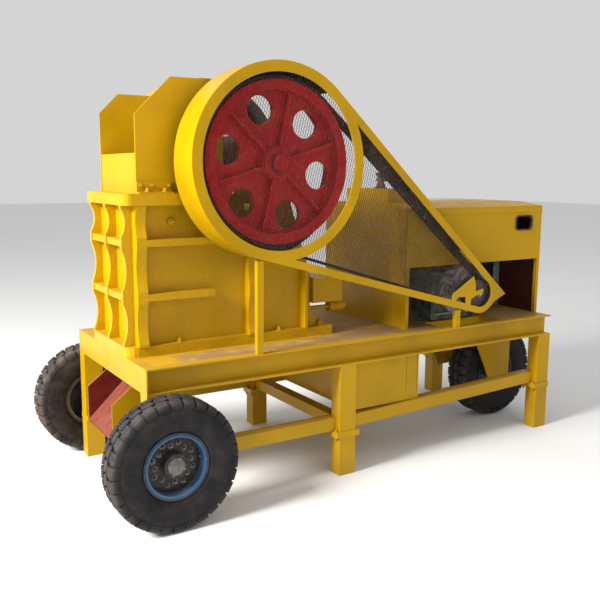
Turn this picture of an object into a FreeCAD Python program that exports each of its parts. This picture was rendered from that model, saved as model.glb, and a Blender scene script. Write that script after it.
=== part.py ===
import FreeCAD, Part
import math
import os
import re

import Sketcher

# A portable jaw crusher: a cast crusher with a sheet hopper, two flywheels, a guarded belt drive and
# a diesel engine under a hood, all on a welded steel frame with six legs and three road wheels.
# Millimetres, Z up. In the sizes below, x runs along the frame from the crusher end, y runs across
# from the near side of the frame and z is the height above the ground. The document itself has its
# origin on the ground under the middle of the frame, with +X toward the engine.

SIZES = {
    # frame
    "frame_length": 2940, "frame_width": 1150, "front_x": -1454, "near_y": -575,
    "deck_height": 795, "rail_height": 135, "rail_flange": 60, "steel": 8,
    "cross_height": 94, "cross_width": 60, "deck_plate": 6,
    "bearer_width": 100, "bearer_y": 215, "bearer_end": 1190, "engine_deck_x": 1990,
    "engine_bearer_y": 250,
    # legs
    "leg_width": 111, "leg_depth": 90, "middle_leg_x": 1165, "foot_height": 234, "rear_foot_rise": 55,
    "flange_thick": 16, "flange_over": 8, "lower_rail_top": 345, "lower_rail_height": 75,
    "lower_rail_y": 38, "rear_rail_rise": 55, "tank_x": 1300, "tank_end": 1800, "tank_top": 650,
    # chute
    "chute_width": 434, "chute_front": 63, "chute_lip": 324, "chute_side": 530, "chute_back": 282,
    "chute_top": 655,
    # crusher body
    "body_base": 54, "body_half_width": 265, "body_wall": 32, "body_length": 1150,
    "body_top": 1585, "top_flange": 60, "flange_half_width": 329, "bearing_seat": 1700,
    "front_wall_x": 60, "front_wall": 50, "rib_depth": 60, "rib_thick": 26,
    "lower_rib": 1090, "upper_rib": 1373, "rib_height": 36, "base_over": 48,
    "base_tail": 130, "base_corner": 60, "flange_corner": 34,
    # rotor
    "shaft_x": 779, "shaft_z": 1806, "shaft_radius": 45, "flywheel_radius": 430,
    "flywheel_width": 150, "flywheel_gap": 40, "rim_thick": 55, "web_thick": 22,
    "hub_radius": 92, "web_hole": 76, "web_hole_circle": 285, "web_turn": 17, "running_gap": 0.08,
    # drive
    "pulley_x": 2262, "pulley_z": 1000, "pulley_radius": 85, "belt_gap": 5, "belt_thick": 12,
    "belt_width": 16, "belt_pitch": 21, "belt_first": 44,
    # guard
    "guard_radius": 519, "guard_opening": 462, "guard_plate": 8, "guard_depth": 225,
    "guard_end": 130, "guard_bar": 42, "guard_lip": 24, "guard_tip": 172, "mesh_thick": 3,
    # hopper
    "hopper_half_width": 285, "hopper_plate": 8, "hopper_x": 80, "hopper_top": 2190,
    "hopper_chamfer": 110, "near_chamfer": 195,
    "near_top": 2237, "hopper_back": 572, "hopper_front_top": 1850,
    # engine and hood
    "hood_x": 1740, "hood_y": 130, "hood_sheet": 5, "hood_side_top": 1500, "hood_lid": 45,
    "hood_crown": 68, "hood_open": 1180, "hood_post": 26, "engine_x": 2070, "engine_end": 2450,
    "engine_y": 262, "engine_top": 1290,
    # wheels
    "tyre_radius": 338, "tyre_width": 172, "rim_radius": 155, "rim_width": 136, "rim_flange": 16,
    "front_wheel_x": 82, "front_wheel_gap": 14, "rear_wheel_x": 2826, "rear_wheel_y": 450,
    "axle_radius": 30,
}

doc = FreeCAD.newDocument("JawCrusher")
sheet = doc.addObject("Spreadsheet::Sheet", "Sizes")
for row, (alias, size) in enumerate(SIZES.items(), start=1):
    sheet.set("A%d" % row, alias)
    sheet.set("B%d" % row, str(size))
    sheet.setAlias("B%d" % row, alias)
doc.recompute()

FINISHED = []


# ---- helpers -------------------------------------------------------------------------------------

def formula(text):
    """The same sum with each size's name written as its spreadsheet cell."""
    return re.sub(r"[a-z][a-z_]+", lambda word: "Sizes." + word.group()
                  if word.group() in SIZES else word.group(), str(text))


def number(text):
    """The value that a formula has now."""
    return float(sheet.evalExpression(formula(text)))


def bind(piece, formulas):
    for name, text in formulas.items():
        piece.setExpression(name, formula(text))


def place(piece, x, y, z):
    """Moves a piece to a point given from the crusher end, the near side and the ground."""
    bind(piece, {".Placement.Base.x": "front_x + (%s)" % x,
                 ".Placement.Base.y": "near_y + (%s)" % y,
                 ".Placement.Base.z": z})
    return piece


def across(y, side):
    """A span across the frame, or its mirror image for the far side."""
    if side == "near":
        return y
    return ("frame_width - (%s)" % y[1], "frame_width - (%s)" % y[0])


def box(x, y, z):
    """A block from three spans, each a pair of formulas."""
    piece = doc.addObject("Part::Box", "Block")
    bind(piece, {"Length": "(%s) - (%s)" % (x[1], x[0]),
                 "Width": "(%s) - (%s)" % (y[1], y[0]),
                 "Height": "(%s) - (%s)" % (z[1], z[0])})
    return place(piece, x[0], y[0], z[0])


def rod(x, y, z, radius):
    """A round bar across the frame, spanning y."""
    piece = doc.addObject("Part::Cylinder", "Rod")
    piece.Placement = FreeCAD.Placement(FreeCAD.Vector(), FreeCAD.Rotation(FreeCAD.Vector(1, 0, 0), -90))
    bind(piece, {"Radius": radius, "Height": "(%s) - (%s)" % (y[1], y[0])})
    return place(piece, x, y[0], z)


def bar(x, y, z, radius):
    """A round bar along the frame, spanning x."""
    piece = doc.addObject("Part::Cylinder", "Bar")
    piece.Placement = FreeCAD.Placement(FreeCAD.Vector(), FreeCAD.Rotation(FreeCAD.Vector(0, 1, 0), 90))
    bind(piece, {"Radius": radius, "Height": "(%s) - (%s)" % (x[1], x[0])})
    return place(piece, x[0], y, z)


def post(x, y, z, radius):
    """An upright round bar, spanning z."""
    piece = doc.addObject("Part::Cylinder", "Post")
    bind(piece, {"Radius": radius, "Height": "(%s) - (%s)" % (z[1], z[0])})
    return place(piece, x, y, z[0])


def join(pieces):
    piece = doc.addObject("Part::MultiFuse", "Join")
    piece.Shapes = pieces
    piece.Refine = True
    return piece


def cut(base, tools):
    piece = doc.addObject("Part::Cut", "Cut")
    piece.Base = base
    piece.Tool = tools[0] if len(tools) == 1 else join(tools)
    piece.Refine = True
    return piece


def finish(label, piece):
    piece.Label = label
    FINISHED.append(piece)
    return piece


def sketch_on(body, plane, name):
    sketch = body.newObject("Sketcher::SketchObject", name)
    origin_plane = next(item for item in body.Origin.OriginFeatures if item.Role == plane)
    sketch.AttachmentSupport = [(origin_plane, "")]
    sketch.MapMode = "FlatFace"
    return sketch


def pin(sketch, edge, point, across_text, up_text):
    """Fixes one sketch point by two formulas measured from the sketch's origin."""
    for kind, text in (("DistanceX", across_text), ("DistanceY", up_text)):
        index = sketch.addConstraint(Sketcher.Constraint(kind, -1, 1, edge, point, number(text)))
        sketch.setExpression("Constraints[%d]" % index, formula(text))


def draw(sketch, corners):
    """A closed outline through corners that are pairs of formulas."""
    spots = [FreeCAD.Vector(number(a), number(b), 0) for a, b in corners]
    count = len(corners)
    first = sketch.GeometryCount
    for i in range(count):
        sketch.addGeometry(Part.LineSegment(spots[i], spots[(i + 1) % count]), False)
    for i in range(count):
        sketch.addConstraint(Sketcher.Constraint("Coincident", first + i, 2, first + (i + 1) % count, 1))
    for i in range(count):
        pin(sketch, first + i, 1, corners[i][0], corners[i][1])


def draw_circle(sketch, a, b, radius):
    spot = FreeCAD.Vector(number(a), number(b), 0)
    edge = sketch.addGeometry(Part.Circle(spot, FreeCAD.Vector(0, 0, 1), number(radius)), False)
    pin(sketch, edge, 3, a, b)
    index = sketch.addConstraint(Sketcher.Constraint("Radius", edge, number(radius)))
    sketch.setExpression("Constraints[%d]" % index, formula(radius))


def side_plate(corners, y, holes=(), circles=()):
    """A plate cut to an outline seen from the near side, x then z, and spanning y."""
    body = doc.addObject("PartDesign::Body", "Plate")
    sketch = sketch_on(body, "XZ_Plane", "Outline")
    draw(sketch, corners)
    for hole in holes:
        draw(sketch, hole)
    for a, b, radius in circles:
        draw_circle(sketch, a, b, radius)
    pad = body.newObject("PartDesign::Pad", "Plate")
    pad.Profile = sketch
    pad.Reversed = True
    bind(pad, {"Length": "(%s) - (%s)" % (y[1], y[0])})
    return place(body, "0", y[0], "0")


def end_profile(corners, x):
    """A bar whose section is seen from the end, y then z, and which spans x."""
    body = doc.addObject("PartDesign::Body", "Bar")
    sketch = sketch_on(body, "YZ_Plane", "Section")
    draw(sketch, corners)
    pad = body.newObject("PartDesign::Pad", "Bar")
    pad.Profile = sketch
    bind(pad, {"Length": "(%s) - (%s)" % (x[1], x[0])})
    return place(body, x[0], "0", "0")


def flat_plate(corners, z, holes=()):
    """A plate cut to an outline seen from above, x then y, and spanning z."""
    body = doc.addObject("PartDesign::Body", "Plate")
    sketch = sketch_on(body, "XY_Plane", "Outline")
    draw(sketch, corners)
    for hole in holes:
        draw(sketch, hole)
    pad = body.newObject("PartDesign::Pad", "Plate")
    pad.Profile = sketch
    bind(pad, {"Length": "(%s) - (%s)" % (z[1], z[0])})
    return place(body, "0", "0", z[0])


def turned(corners):
    """A round piece about the Y axis: corners give the width position, then the radius."""
    body = doc.addObject("PartDesign::Body", "Turned")
    sketch = sketch_on(body, "YZ_Plane", "Section")
    draw(sketch, corners)
    wheel = body.newObject("PartDesign::Revolution", "Turned")
    wheel.Profile = sketch
    wheel.ReferenceAxis = (sketch, ["H_Axis"])
    wheel.Angle = 360
    return body


def rectangle(a, b):
    return [(a[0], b[0]), (a[1], b[0]), (a[1], b[1]), (a[0], b[1])]


# ---- frame ---------------------------------------------------------------------------------------

def main_rails():
    """Two channels with their flanges outward, running from the front beam to the frame's end."""
    rail_bottom = "deck_height - rail_height"
    rails = []
    for side in ("near", "far"):
        face = "0" if side == "near" else "frame_width"
        sign = "+" if side == "near" else "-"
        outline = [(face, rail_bottom),
                   ("%s %s rail_flange" % (face, sign), rail_bottom),
                   ("%s %s rail_flange" % (face, sign), "deck_height"),
                   (face, "deck_height"),
                   (face, "deck_height - steel"),
                   ("%s %s (rail_flange - steel)" % (face, sign), "deck_height - steel"),
                   ("%s %s (rail_flange - steel)" % (face, sign), rail_bottom + " + steel"),
                   (face, rail_bottom + " + steel")]
        rails.append(end_profile(outline, ("steel", "frame_length")))
    finish("main_rails", join(rails))


def end_beams():
    """A channel across the crusher end with its flat back outward, and a lower one at the other end."""
    bottom = "deck_height - rail_height"
    face = box(("0", "steel"), ("0", "frame_width"), (bottom, "deck_height"))
    inside = ("rail_flange", "frame_width - rail_flange")
    top = box(("steel", "rail_flange"), inside, ("deck_height - steel", "deck_height"))
    base = box(("steel", "rail_flange"), inside, (bottom, bottom + " + steel"))
    rear = box(("frame_length - cross_width", "frame_length"), inside,
               ("deck_height - cross_height - deck_plate", "deck_height"))
    finish("end_beams", join([face, top, base, rear]))


def cross_beams():
    """Beams between the rails under the deck, and one low down between the middle legs."""
    inside = ("rail_flange", "frame_width - rail_flange")
    height = ("deck_height - cross_height - deck_plate", "deck_height - deck_plate")
    beams = [box((x, x + " + cross_width"), inside, height)
             for x in ("bearer_end", "hood_x", "engine_end + cross_width")]
    beams.append(box(("middle_leg_x + 18", "middle_leg_x + leg_width - 18"),
                     ("leg_depth", "frame_width - leg_depth"),
                     ("lower_rail_top - lower_rail_height", "lower_rail_top - steel")))
    finish("cross_beams", join(beams))


def crusher_bearers():
    """Two beams along the frame that carry the crusher's feet."""
    height = ("deck_height - cross_height - deck_plate", "deck_height")
    y = ("bearer_y", "bearer_y + bearer_width")
    finish("crusher_bearers", join([box(("rail_flange", "bearer_end"), across(y, side), height)
                                    for side in ("near", "far")]))


def engine_bearers():
    """Two beams along the frame that carry the engine and the rear axle's brackets."""
    height = ("deck_height - cross_height - deck_plate", "deck_height - deck_plate")
    y = ("engine_bearer_y", "engine_bearer_y + cross_width")
    spans = (("hood_x + cross_width", "engine_end + cross_width"),
             ("engine_end + 2 * cross_width", "frame_length - cross_width"))
    finish("engine_bearers", join([box(x, across(y, side), height)
                                   for side in ("near", "far") for x in spans]))


def deck_plates():
    """Chequer plate between the rails, left open under the crusher and round the engine's sump."""
    height = ("deck_height - deck_plate", "deck_height")
    y = ("rail_flange", "frame_width - rail_flange")
    strips = [box(("rail_flange", "bearer_end"), across(("rail_flange", "bearer_y"), side), height)
              for side in ("near", "far")]
    finish("deck_plates", join([*strips, box(("bearer_end", "engine_deck_x"), y, height),
                                box(("engine_end + cross_width", "frame_length - cross_width"), y, height)]))


LEG_PLACES = ("0", "middle_leg_x", "frame_length - leg_width")


def foot_top(x):
    """The height of a foot. The two at the engine end are taller."""
    return "foot_height + rear_foot_rise" if x == LEG_PLACES[2] else "foot_height"


def leg_flange(x, side, z):
    """The bolted plate at a leg's end. Toward the middle of the frame it stands out further."""
    left = x if x == "0" else x + " - flange_over * 3"
    right = x + " + leg_width" if x == LEG_PLACES[2] else x + " + leg_width + flange_over * 3"
    y = ("-flange_over", "leg_depth + flange_over * 3")
    return box((left, right), across(y, side), z)


def legs():
    """Six box legs, each with a flange at its lower end."""
    pieces = []
    for x in LEG_PLACES:
        low = foot_top(x) + " + flange_thick"
        for side in ("near", "far"):
            shank = box((x, x + " + leg_width"), across(("0", "leg_depth"), side),
                        (low, "deck_height - rail_height"))
            pieces.append(join([shank, leg_flange(x, side, (low, low + " + flange_thick"))]))
    finish("legs", join(pieces))


def bolt_on_feet():
    """Short box feet bolted under the legs, standing on the ground."""
    pieces = []
    for x in LEG_PLACES:
        for side in ("near", "far"):
            shank = box((x, x + " + leg_width"), across(("0", "leg_depth"), side), ("0", foot_top(x)))
            plate = leg_flange(x, side, (foot_top(x), foot_top(x) + " + flange_thick"))
            pieces.append(join([shank, plate]))
    finish("bolt_on_feet", join(pieces))


def lower_rails():
    """Angles between the legs, low down, each with one leg standing and one flat; the rear pair climbs."""
    pieces = []
    for start, end, rise in ((LEG_PLACES[0], LEG_PLACES[1], "0"), (LEG_PLACES[1], LEG_PLACES[2], "rear_rail_rise")):
        x = (start + " + leg_width", end)
        top = ("lower_rail_top", "lower_rail_top + " + rise)
        for side in ("near", "far"):
            legs_of_angle = []
            for y, depth in ((("lower_rail_y", "lower_rail_y + steel"), "lower_rail_height"),
                             (("lower_rail_y + steel", "lower_rail_y + lower_rail_height"), "steel")):
                line = [(x[0], "%s - %s" % (top[0], depth)), (x[1], "%s - %s" % (top[1], depth)),
                        (x[1], top[1]), (x[0], top[0])]
                legs_of_angle.append(side_plate(line, across(y, side)))
            pieces.append(join(legs_of_angle))
    finish("lower_rails", join(pieces))


def fuel_tank():
    """A sheet tank across the frame, standing on the lower rails behind the middle legs."""
    rail_run = "(frame_length - 2 * leg_width - middle_leg_x)"
    bottom = "lower_rail_top + rear_rail_rise * (tank_end - middle_leg_x - leg_width) / " + rail_run
    finish("fuel_tank", box(("tank_x", "tank_end"), ("lower_rail_y + 20", "frame_width - lower_rail_y - 20"),
                            (bottom, "tank_top")))


def discharge_chute():
    """A sloping floor between two side walls, under the crusher's mouth and out past the front beam."""
    middle = "frame_width / 2"
    floor_line = [("chute_front * -1", "chute_lip"), ("chute_back", "chute_top"),
                  ("chute_back - 14", "chute_top"), ("chute_front * -1", "chute_lip + 14")]
    wall = [("chute_front * -1", "chute_lip"), ("chute_back", "chute_top"), ("45", "chute_top"),
            ("45", "chute_side + 84"), ("chute_front * -1", "chute_side")]
    near_wall = (middle + " - chute_width / 2", middle + " - chute_width / 2 + steel")
    floor = side_plate(floor_line, (near_wall[0], middle + " + chute_width / 2"))
    walls = [side_plate(wall, across(near_wall, side)) for side in ("near", "far")]
    finish("discharge_chute", join([floor] + walls))


# ---- crusher body --------------------------------------------------------------------------------

BASE_TOP = "deck_height + body_base"
MIDDLE = "frame_width / 2"


def body_side(side, inner, outer):
    """A span across, given as distances out from the crusher's centre plane."""
    return across((MIDDLE + " - (%s)" % outer, MIDDLE + " - (%s)" % inner), side)


def rounded_front(low, high, radius):
    """The corner points of a plate's two round corners at the crusher end, the far one first."""
    turns = (0, 22.5, 45, 67.5, 90)
    far = [("%s * (1 - sin(%s))" % (radius, turn), "%s - %s * (1 - cos(%s))" % (high, radius, turn))
           for turn in turns]
    near = [("%s * (1 - cos(%s))" % (radius, turn), "%s + %s * (1 - sin(%s))" % (low, radius, turn))
            for turn in turns]
    return far + near


def crusher_base():
    """The bottom flange, open in the middle, that runs on behind the rear wall to be bolted down."""
    low = MIDDLE + " - body_half_width - base_over"
    high = MIDDLE + " + body_half_width + base_over"
    end = "body_length + base_tail"
    opening = rectangle(("front_wall_x + front_wall", "body_length - 40"),
                        (MIDDLE + " - body_half_width + body_wall", MIDDLE + " + body_half_width - body_wall"))
    outline = [(end, low), (end, high)] + rounded_front(low, high, "base_corner")
    finish("crusher_base", flat_plate(outline, ("deck_height", BASE_TOP), [opening]))


def scalloped(rib, x, y, z, hollow, direction):
    """Takes a shallow round hollow out of a rib's outer edge between two heights."""
    chord = "((%s) - (%s) - 24)" % (z[1], z[0])
    radius = "(%s * %s / (8 * %s))" % (chord, chord, hollow)
    centre = "((%s) + (%s)) / 2" % (z[0], z[1])
    if direction == "x":
        tool = rod("(%s) + (%s) - %s" % (x[0], hollow, radius), y, centre, radius)
    elif direction == "near":
        tool = bar(x, "(%s) + (%s) - %s" % (y[0], hollow, radius), centre, radius)
    else:
        tool = bar(x, "(%s) - (%s) + %s" % (y[1], hollow, radius), centre, radius)
    return cut(rib, [tool])


def crusher_side_walls():
    """Thick side walls with the bearing seats on top and stiffening ribs outside."""
    wall_line = [("front_wall_x", BASE_TOP), ("body_length", BASE_TOP), ("body_length", "1150"),
                 ("1010", "body_top"), ("1010", "bearing_seat - 60"), ("560", "bearing_seat - 60"),
                 ("560", "body_top"), ("front_wall_x", "body_top")]
    bays = ((BASE_TOP, "lower_rib"), ("lower_rib + rib_height", "upper_rib"),
            ("upper_rib + rib_height", "body_top"))
    out = ("body_half_width", "body_half_width + rib_depth")
    for side in ("near", "far"):
        wall = side_plate(wall_line, body_side(side, "body_half_width - body_wall", "body_half_width"))
        seat = box(("620", "940"), body_side(side, "body_half_width - body_wall", "body_half_width + 46"),
                   ("bearing_seat - 60", "bearing_seat"))
        ribs = []
        for x in (("front_wall_x", "front_wall_x + 55"), ("710", "756")):
            ribs.append(box(x, body_side(side, *out), (BASE_TOP, "body_top")))
            for z in bays:
                ribs[-1] = scalloped(ribs[-1], x, body_side(side, *out), z, "16", side)
        ribs.append(box(("1080", "1098"), body_side(side, *out), (BASE_TOP, "1200")))
        for x, z in ((("front_wall_x", "1010"), "upper_rib"), (("front_wall_x", "500"), "lower_rib")):
            ribs.append(box(x, body_side(side, *out), (z, z + " + rib_height")))
        finish("crusher_side_wall_" + side, join([wall, seat] + ribs))


def crusher_front_wall():
    """The wall behind the fixed jaw, with three upright ribs and two level ones."""
    half = "body_half_width - body_wall"
    wall = box(("front_wall_x", "front_wall_x + front_wall"),
               (MIDDLE + " - body_half_width + body_wall", MIDDLE + " + " + half), (BASE_TOP, "body_top"))
    depth = ("0", "front_wall_x")
    bays = ((BASE_TOP, "lower_rib"), ("lower_rib + rib_height", "upper_rib"),
            ("upper_rib + rib_height", "body_top"))
    pieces = [wall]
    for y in (MIDDLE + " - body_half_width", MIDDLE + " - rib_thick / 2",
              MIDDLE + " + body_half_width - rib_thick"):
        span = (y, y + " + rib_thick")
        rib = box(depth, span, (BASE_TOP, "body_top"))
        for z in bays:
            rib = scalloped(rib, depth, span, z, "22", "x")
        pieces.append(rib)
    for z in ("lower_rib", "upper_rib"):
        pieces.append(box(("6", "front_wall_x"), (MIDDLE + " - body_half_width", MIDDLE + " + body_half_width"),
                          (z, z + " + rib_height")))
    finish("crusher_front_wall", join(pieces))


def crusher_rear_wall():
    """The wall across the back and the box that holds the toggle seat and its wedges."""
    inner = (MIDDLE + " - body_half_width + body_wall", MIDDLE + " + body_half_width - body_wall")
    wall = box(("body_length - 40", "body_length"), inner, (BASE_TOP, "1150"))
    seat = box(("body_length", "1360"), (MIDDLE + " - 300", MIDDLE + " + 300"), ("990", "1140"))
    finish("crusher_rear_wall", join([wall, seat]))


def top_flange():
    """The machined flange round the feed mouth that the hopper is bolted to."""
    low = MIDDLE + " - flange_half_width"
    high = MIDDLE + " + flange_half_width"
    outline = [("560", low), ("560", MIDDLE + " - body_half_width + body_wall"),
               ("front_wall_x + front_wall", MIDDLE + " - body_half_width + body_wall"),
               ("front_wall_x + front_wall", MIDDLE + " + body_half_width - body_wall"),
               ("560", MIDDLE + " + body_half_width - body_wall"), ("560", high)]
    outline += rounded_front(low, high, "flange_corner")
    finish("top_flange", flat_plate(outline, ("body_top", "body_top + top_flange")))


def jaws():
    """The fixed jaw plate against the front wall, and the swing jaw hung round the shaft."""
    half = "body_half_width - body_wall - 5"
    y = (MIDDLE + " - (%s)" % half, MIDDLE + " + (%s)" % half)
    finish("fixed_jaw", box(("front_wall_x + front_wall", "front_wall_x + front_wall + 55"), y,
                            (BASE_TOP, "body_top - 5")))
    arm = side_plate([("430", "1640"), ("225", "880"), ("330", "870"), ("560", "1180"), ("900", "1720"),
                      ("shaft_x", "shaft_z + 150"), ("629", "shaft_z"), ("560", "1690")], y)
    head = rod("shaft_x", y, "shaft_z", "160")
    hollow = rod("shaft_x", y, "shaft_z", "shaft_radius + 8")
    finish("swing_jaw", cut(join([arm, head]), [hollow]))


def bearing_housings():
    """Split housings on the seats, each with a round cap and a bore that clears the shaft."""
    pieces = []
    for side in ("near", "far"):
        y = body_side(side, "body_half_width - body_wall", "body_half_width + 46")
        foot = box(("shaft_x - 150", "shaft_x + 150"), y, ("bearing_seat", "bearing_seat + 36"))
        cheek = box(("shaft_x - 118", "shaft_x + 118"), y, ("bearing_seat", "shaft_z"))
        cap = rod("shaft_x", y, "shaft_z", "118")
        bore = rod("shaft_x", y, "shaft_z", "shaft_radius + running_gap")
        under = box(("shaft_x - 118", "shaft_x + 118"), y, ("shaft_z - 118 - steel", "bearing_seat"))
        pieces.append(cut(join([foot, cheek, cap]), [bore, under]))
    finish("bearing_housings", join(pieces))


def tension_rods():
    """Two rods out of the back under the toggle box, each with a spring cup and a nut."""
    pieces = []
    for side in ("near", "far"):
        y = across((MIDDLE + " - 235", MIDDLE + " - 235"), side)[0]
        pieces.append(join([bar(("body_length", "1430"), y, "950", "12"),
                            bar(("1300", "1400"), y, "950", "32"),
                            bar(("1400", "1415"), y, "950", "24")]))
    finish("tension_rods", join(pieces))


# ---- hopper --------------------------------------------------------------------------------------

FLANGE_TOP = "body_top + top_flange"


def hopper():
    """Two tall side plates with cut-off front corners, a low front plate and a back plate."""
    sides = []
    for side, top, chamfer in (("near", "near_top", "near_chamfer"), ("far", "hopper_top", "hopper_chamfer")):
        line = [("hopper_x", FLANGE_TOP), ("hopper_back", FLANGE_TOP), ("hopper_back", top),
                ("hopper_x + " + chamfer, top), ("hopper_x", "%s - %s" % (top, chamfer))]
        plate = side_plate(line, body_side(side, "hopper_half_width - hopper_plate", "hopper_half_width"))
        upright = box(("hopper_x", "hopper_x + 190"),
                      body_side(side, "hopper_half_width", "hopper_half_width + steel"),
                      (FLANGE_TOP, FLANGE_TOP + " + 62"))
        foot = box(("hopper_x", "hopper_x + 190"),
                   body_side(side, "hopper_half_width + steel", "hopper_half_width + 42"),
                   (FLANGE_TOP, FLANGE_TOP + " + steel"))
        sides.append(join([plate, upright, foot]))
    finish("hopper_side_plates", join(sides))
    inside = (MIDDLE + " - hopper_half_width + hopper_plate", MIDDLE + " + hopper_half_width - hopper_plate")
    front = box(("hopper_x + 4", "hopper_x + 4 + hopper_plate"), inside, (FLANGE_TOP, "hopper_front_top"))
    back = box(("hopper_back - hopper_plate", "hopper_back"), inside, ("1720", "hopper_top"))
    finish("hopper_end_plates", join([front, back]))


# ---- rotor ---------------------------------------------------------------------------------------

def flywheel(label, side):
    """A cast wheel: rim, web with six round holes, six ribs and a hub bored for the shaft."""
    rim_inner = "flywheel_radius - rim_thick"
    web = ("flywheel_width / 2 - web_thick / 2", "flywheel_width / 2 + web_thick / 2")
    body = turned([("0", rim_inner), (web[0], rim_inner), (web[0], "hub_radius"), ("20", "hub_radius"),
                   ("20", "shaft_radius"), ("flywheel_width - 20", "shaft_radius"),
                   ("flywheel_width - 20", "hub_radius"), (web[1], "hub_radius"), (web[1], rim_inner),
                   ("flywheel_width", rim_inner), ("flywheel_width", "flywheel_radius"),
                   ("0", "flywheel_radius")])
    doc.recompute()
    hole = sketch_on(body, "XZ_Plane", "WebHole")
    draw_circle(hole, "web_hole_circle * cos(30 + web_turn)", "web_hole_circle * sin(30 + web_turn)", "web_hole")
    pocket = body.newObject("PartDesign::Pocket", "WebHole")
    pocket.Profile = hole
    pocket.Type = "ThroughAll"
    pocket.Midplane = True
    holes = body.newObject("PartDesign::PolarPattern", "WebHoles")
    holes.Originals = [pocket]
    holes.Axis = (hole, ["N_Axis"])
    holes.Angle = 360
    holes.Occurrences = 6
    body.Tip = holes
    wheel_y = ("flywheel_gap", "flywheel_gap + flywheel_width")
    place(body, "shaft_x", across(wheel_y, side)[0], "shaft_z")
    ribs = []
    rib_y = across(("flywheel_gap + 26", "flywheel_gap + flywheel_width - 26"), side)
    for turn in range(6):
        rib = doc.addObject("Part::Box", "Rib")
        angle = 60 * turn - number("web_turn")
        rib.Placement = FreeCAD.Placement(FreeCAD.Vector(), FreeCAD.Rotation(FreeCAD.Vector(0, 1, 0), angle))
        bind(rib, {"Length": "flywheel_radius - rim_thick - hub_radius + 8",
                   "Width": "flywheel_width - 52", "Height": "18",
                   ".Placement.Base.x": "front_x + shaft_x + cos(%g) * (hub_radius - 4) - sin(%g) * 9"
                                        % (angle, angle),
                   ".Placement.Base.y": "near_y + " + rib_y[0],
                   ".Placement.Base.z": "shaft_z - sin(%g) * (hub_radius - 4) - cos(%g) * 9"
                                        % (angle, angle)})
        ribs.append(rib)
    finish(label, join([body] + ribs))


def eccentric_shaft():
    finish("eccentric_shaft", rod("shaft_x", ("flywheel_gap - 15", "frame_width - flywheel_gap + 15"),
                                  "shaft_z", "shaft_radius"))


def engine_pulley():
    """The small grooved pulley and its stub shaft, in front of the engine."""
    wheel = rod("pulley_x", ("belt_first - 7", "belt_first + 4 * belt_pitch"), "pulley_z", "pulley_radius")
    stub = rod("pulley_x", ("belt_first - 22", "engine_y - 6"), "pulley_z", "26")
    finish("engine_pulley", join([wheel, stub]))


# ---- belts and guards: outlines with tangent lines, which no primitive gives ----------------------

def spot(x, z):
    return FreeCAD.Vector(x, 0, z)


def loop_points(big, small):
    """Where the two outer tangents touch the circles round the shaft and the pulley."""
    shaft = spot(number("shaft_x"), number("shaft_z"))
    pulley = spot(number("pulley_x"), number("pulley_z"))
    slope = math.atan2(pulley.z - shaft.z, pulley.x - shaft.x)
    lean = math.asin((big - small) / (pulley - shaft).Length)
    top = slope + math.pi / 2 - lean
    bottom = slope - math.pi / 2 + lean
    points = {}
    for name, centre, radius in (("big", shaft, big), ("small", pulley, small)):
        for edge, angle in (("top", top), ("bottom", bottom)):
            points[name, edge] = centre + spot(math.cos(angle), math.sin(angle)) * radius
    middle = (top + bottom) / 2
    points["big", "back"] = shaft - spot(math.cos(middle), math.sin(middle)) * big
    points["small", "front"] = pulley + spot(math.cos(middle), math.sin(middle)) * small
    return points


def loop_face(big, small, tip=0):
    """The area inside two circles and their tangents, with the top line run on to a point if asked."""
    at = loop_points(big, small)
    edges = [Part.Arc(at["big", "top"], at["big", "back"], at["big", "bottom"]).toShape(),
             Part.LineSegment(at["big", "bottom"], at["small", "bottom"]).toShape()]
    if tip:
        along = (at["small", "top"] - at["big", "top"]).normalize()
        point = at["small", "top"] + along * tip
        edges += [Part.Arc(at["small", "bottom"], (at["small", "front"] + at["small", "bottom"]) * 0.5
                           + (at["small", "front"] - at["small", "top"]) * 0.12,
                           at["small", "front"]).toShape(),
                  Part.LineSegment(at["small", "front"], point).toShape(),
                  Part.LineSegment(point, at["big", "top"]).toShape()]
    else:
        edges += [Part.Arc(at["small", "bottom"], at["small", "front"], at["small", "top"]).toShape(),
                  Part.LineSegment(at["small", "top"], at["big", "top"]).toShape()]
    return Part.Face(Part.Wire(edges))


def disc(radius):
    circle = Part.Circle(spot(number("shaft_x"), number("shaft_z")), FreeCAD.Vector(0, 1, 0), radius)
    return Part.Face(Part.Wire([circle.toShape()]))


def shaped(label, shape):
    """A feature from Part's own functions, moved to where the frame's corner is."""
    piece = doc.addObject("Part::Feature", label)
    piece.Shape = shape
    place(piece, "0", "0", "0")
    return finish(label, piece)


def thick(face, y):
    """A face pushed out across the frame over a span."""
    low, high = number(y[0]), number(y[1])
    return face.translated(FreeCAD.Vector(0, low, 0)).extrude(FreeCAD.Vector(0, high - low, 0))


GUARD = number("guard_radius")
GUARD_END = number("guard_end")
BAR = number("guard_bar")


def guard_window(grow):
    """The three-cornered window between the flywheel ring and the guard's two straight bars."""
    return loop_face(GUARD - BAR + grow, GUARD_END - BAR + grow).cut(disc(GUARD - grow))


def belt_guard_frame():
    """The flat face of the guard: a ring round the flywheel, two bars and the end round the pulley."""
    face = loop_face(GUARD, GUARD_END, number("guard_tip"))
    face = face.cut(disc(number("guard_opening"))).cut(guard_window(0))
    plate = thick(face, ("0", "guard_plate"))
    lip = thick(loop_face(GUARD, GUARD_END).cut(loop_face(GUARD - 6, GUARD_END - 6)).cut(disc(GUARD + 1)),
                ("guard_plate", "guard_plate + guard_lip"))
    shaped("belt_guard_frame", plate.fuse(lip).removeSplitter())


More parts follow.
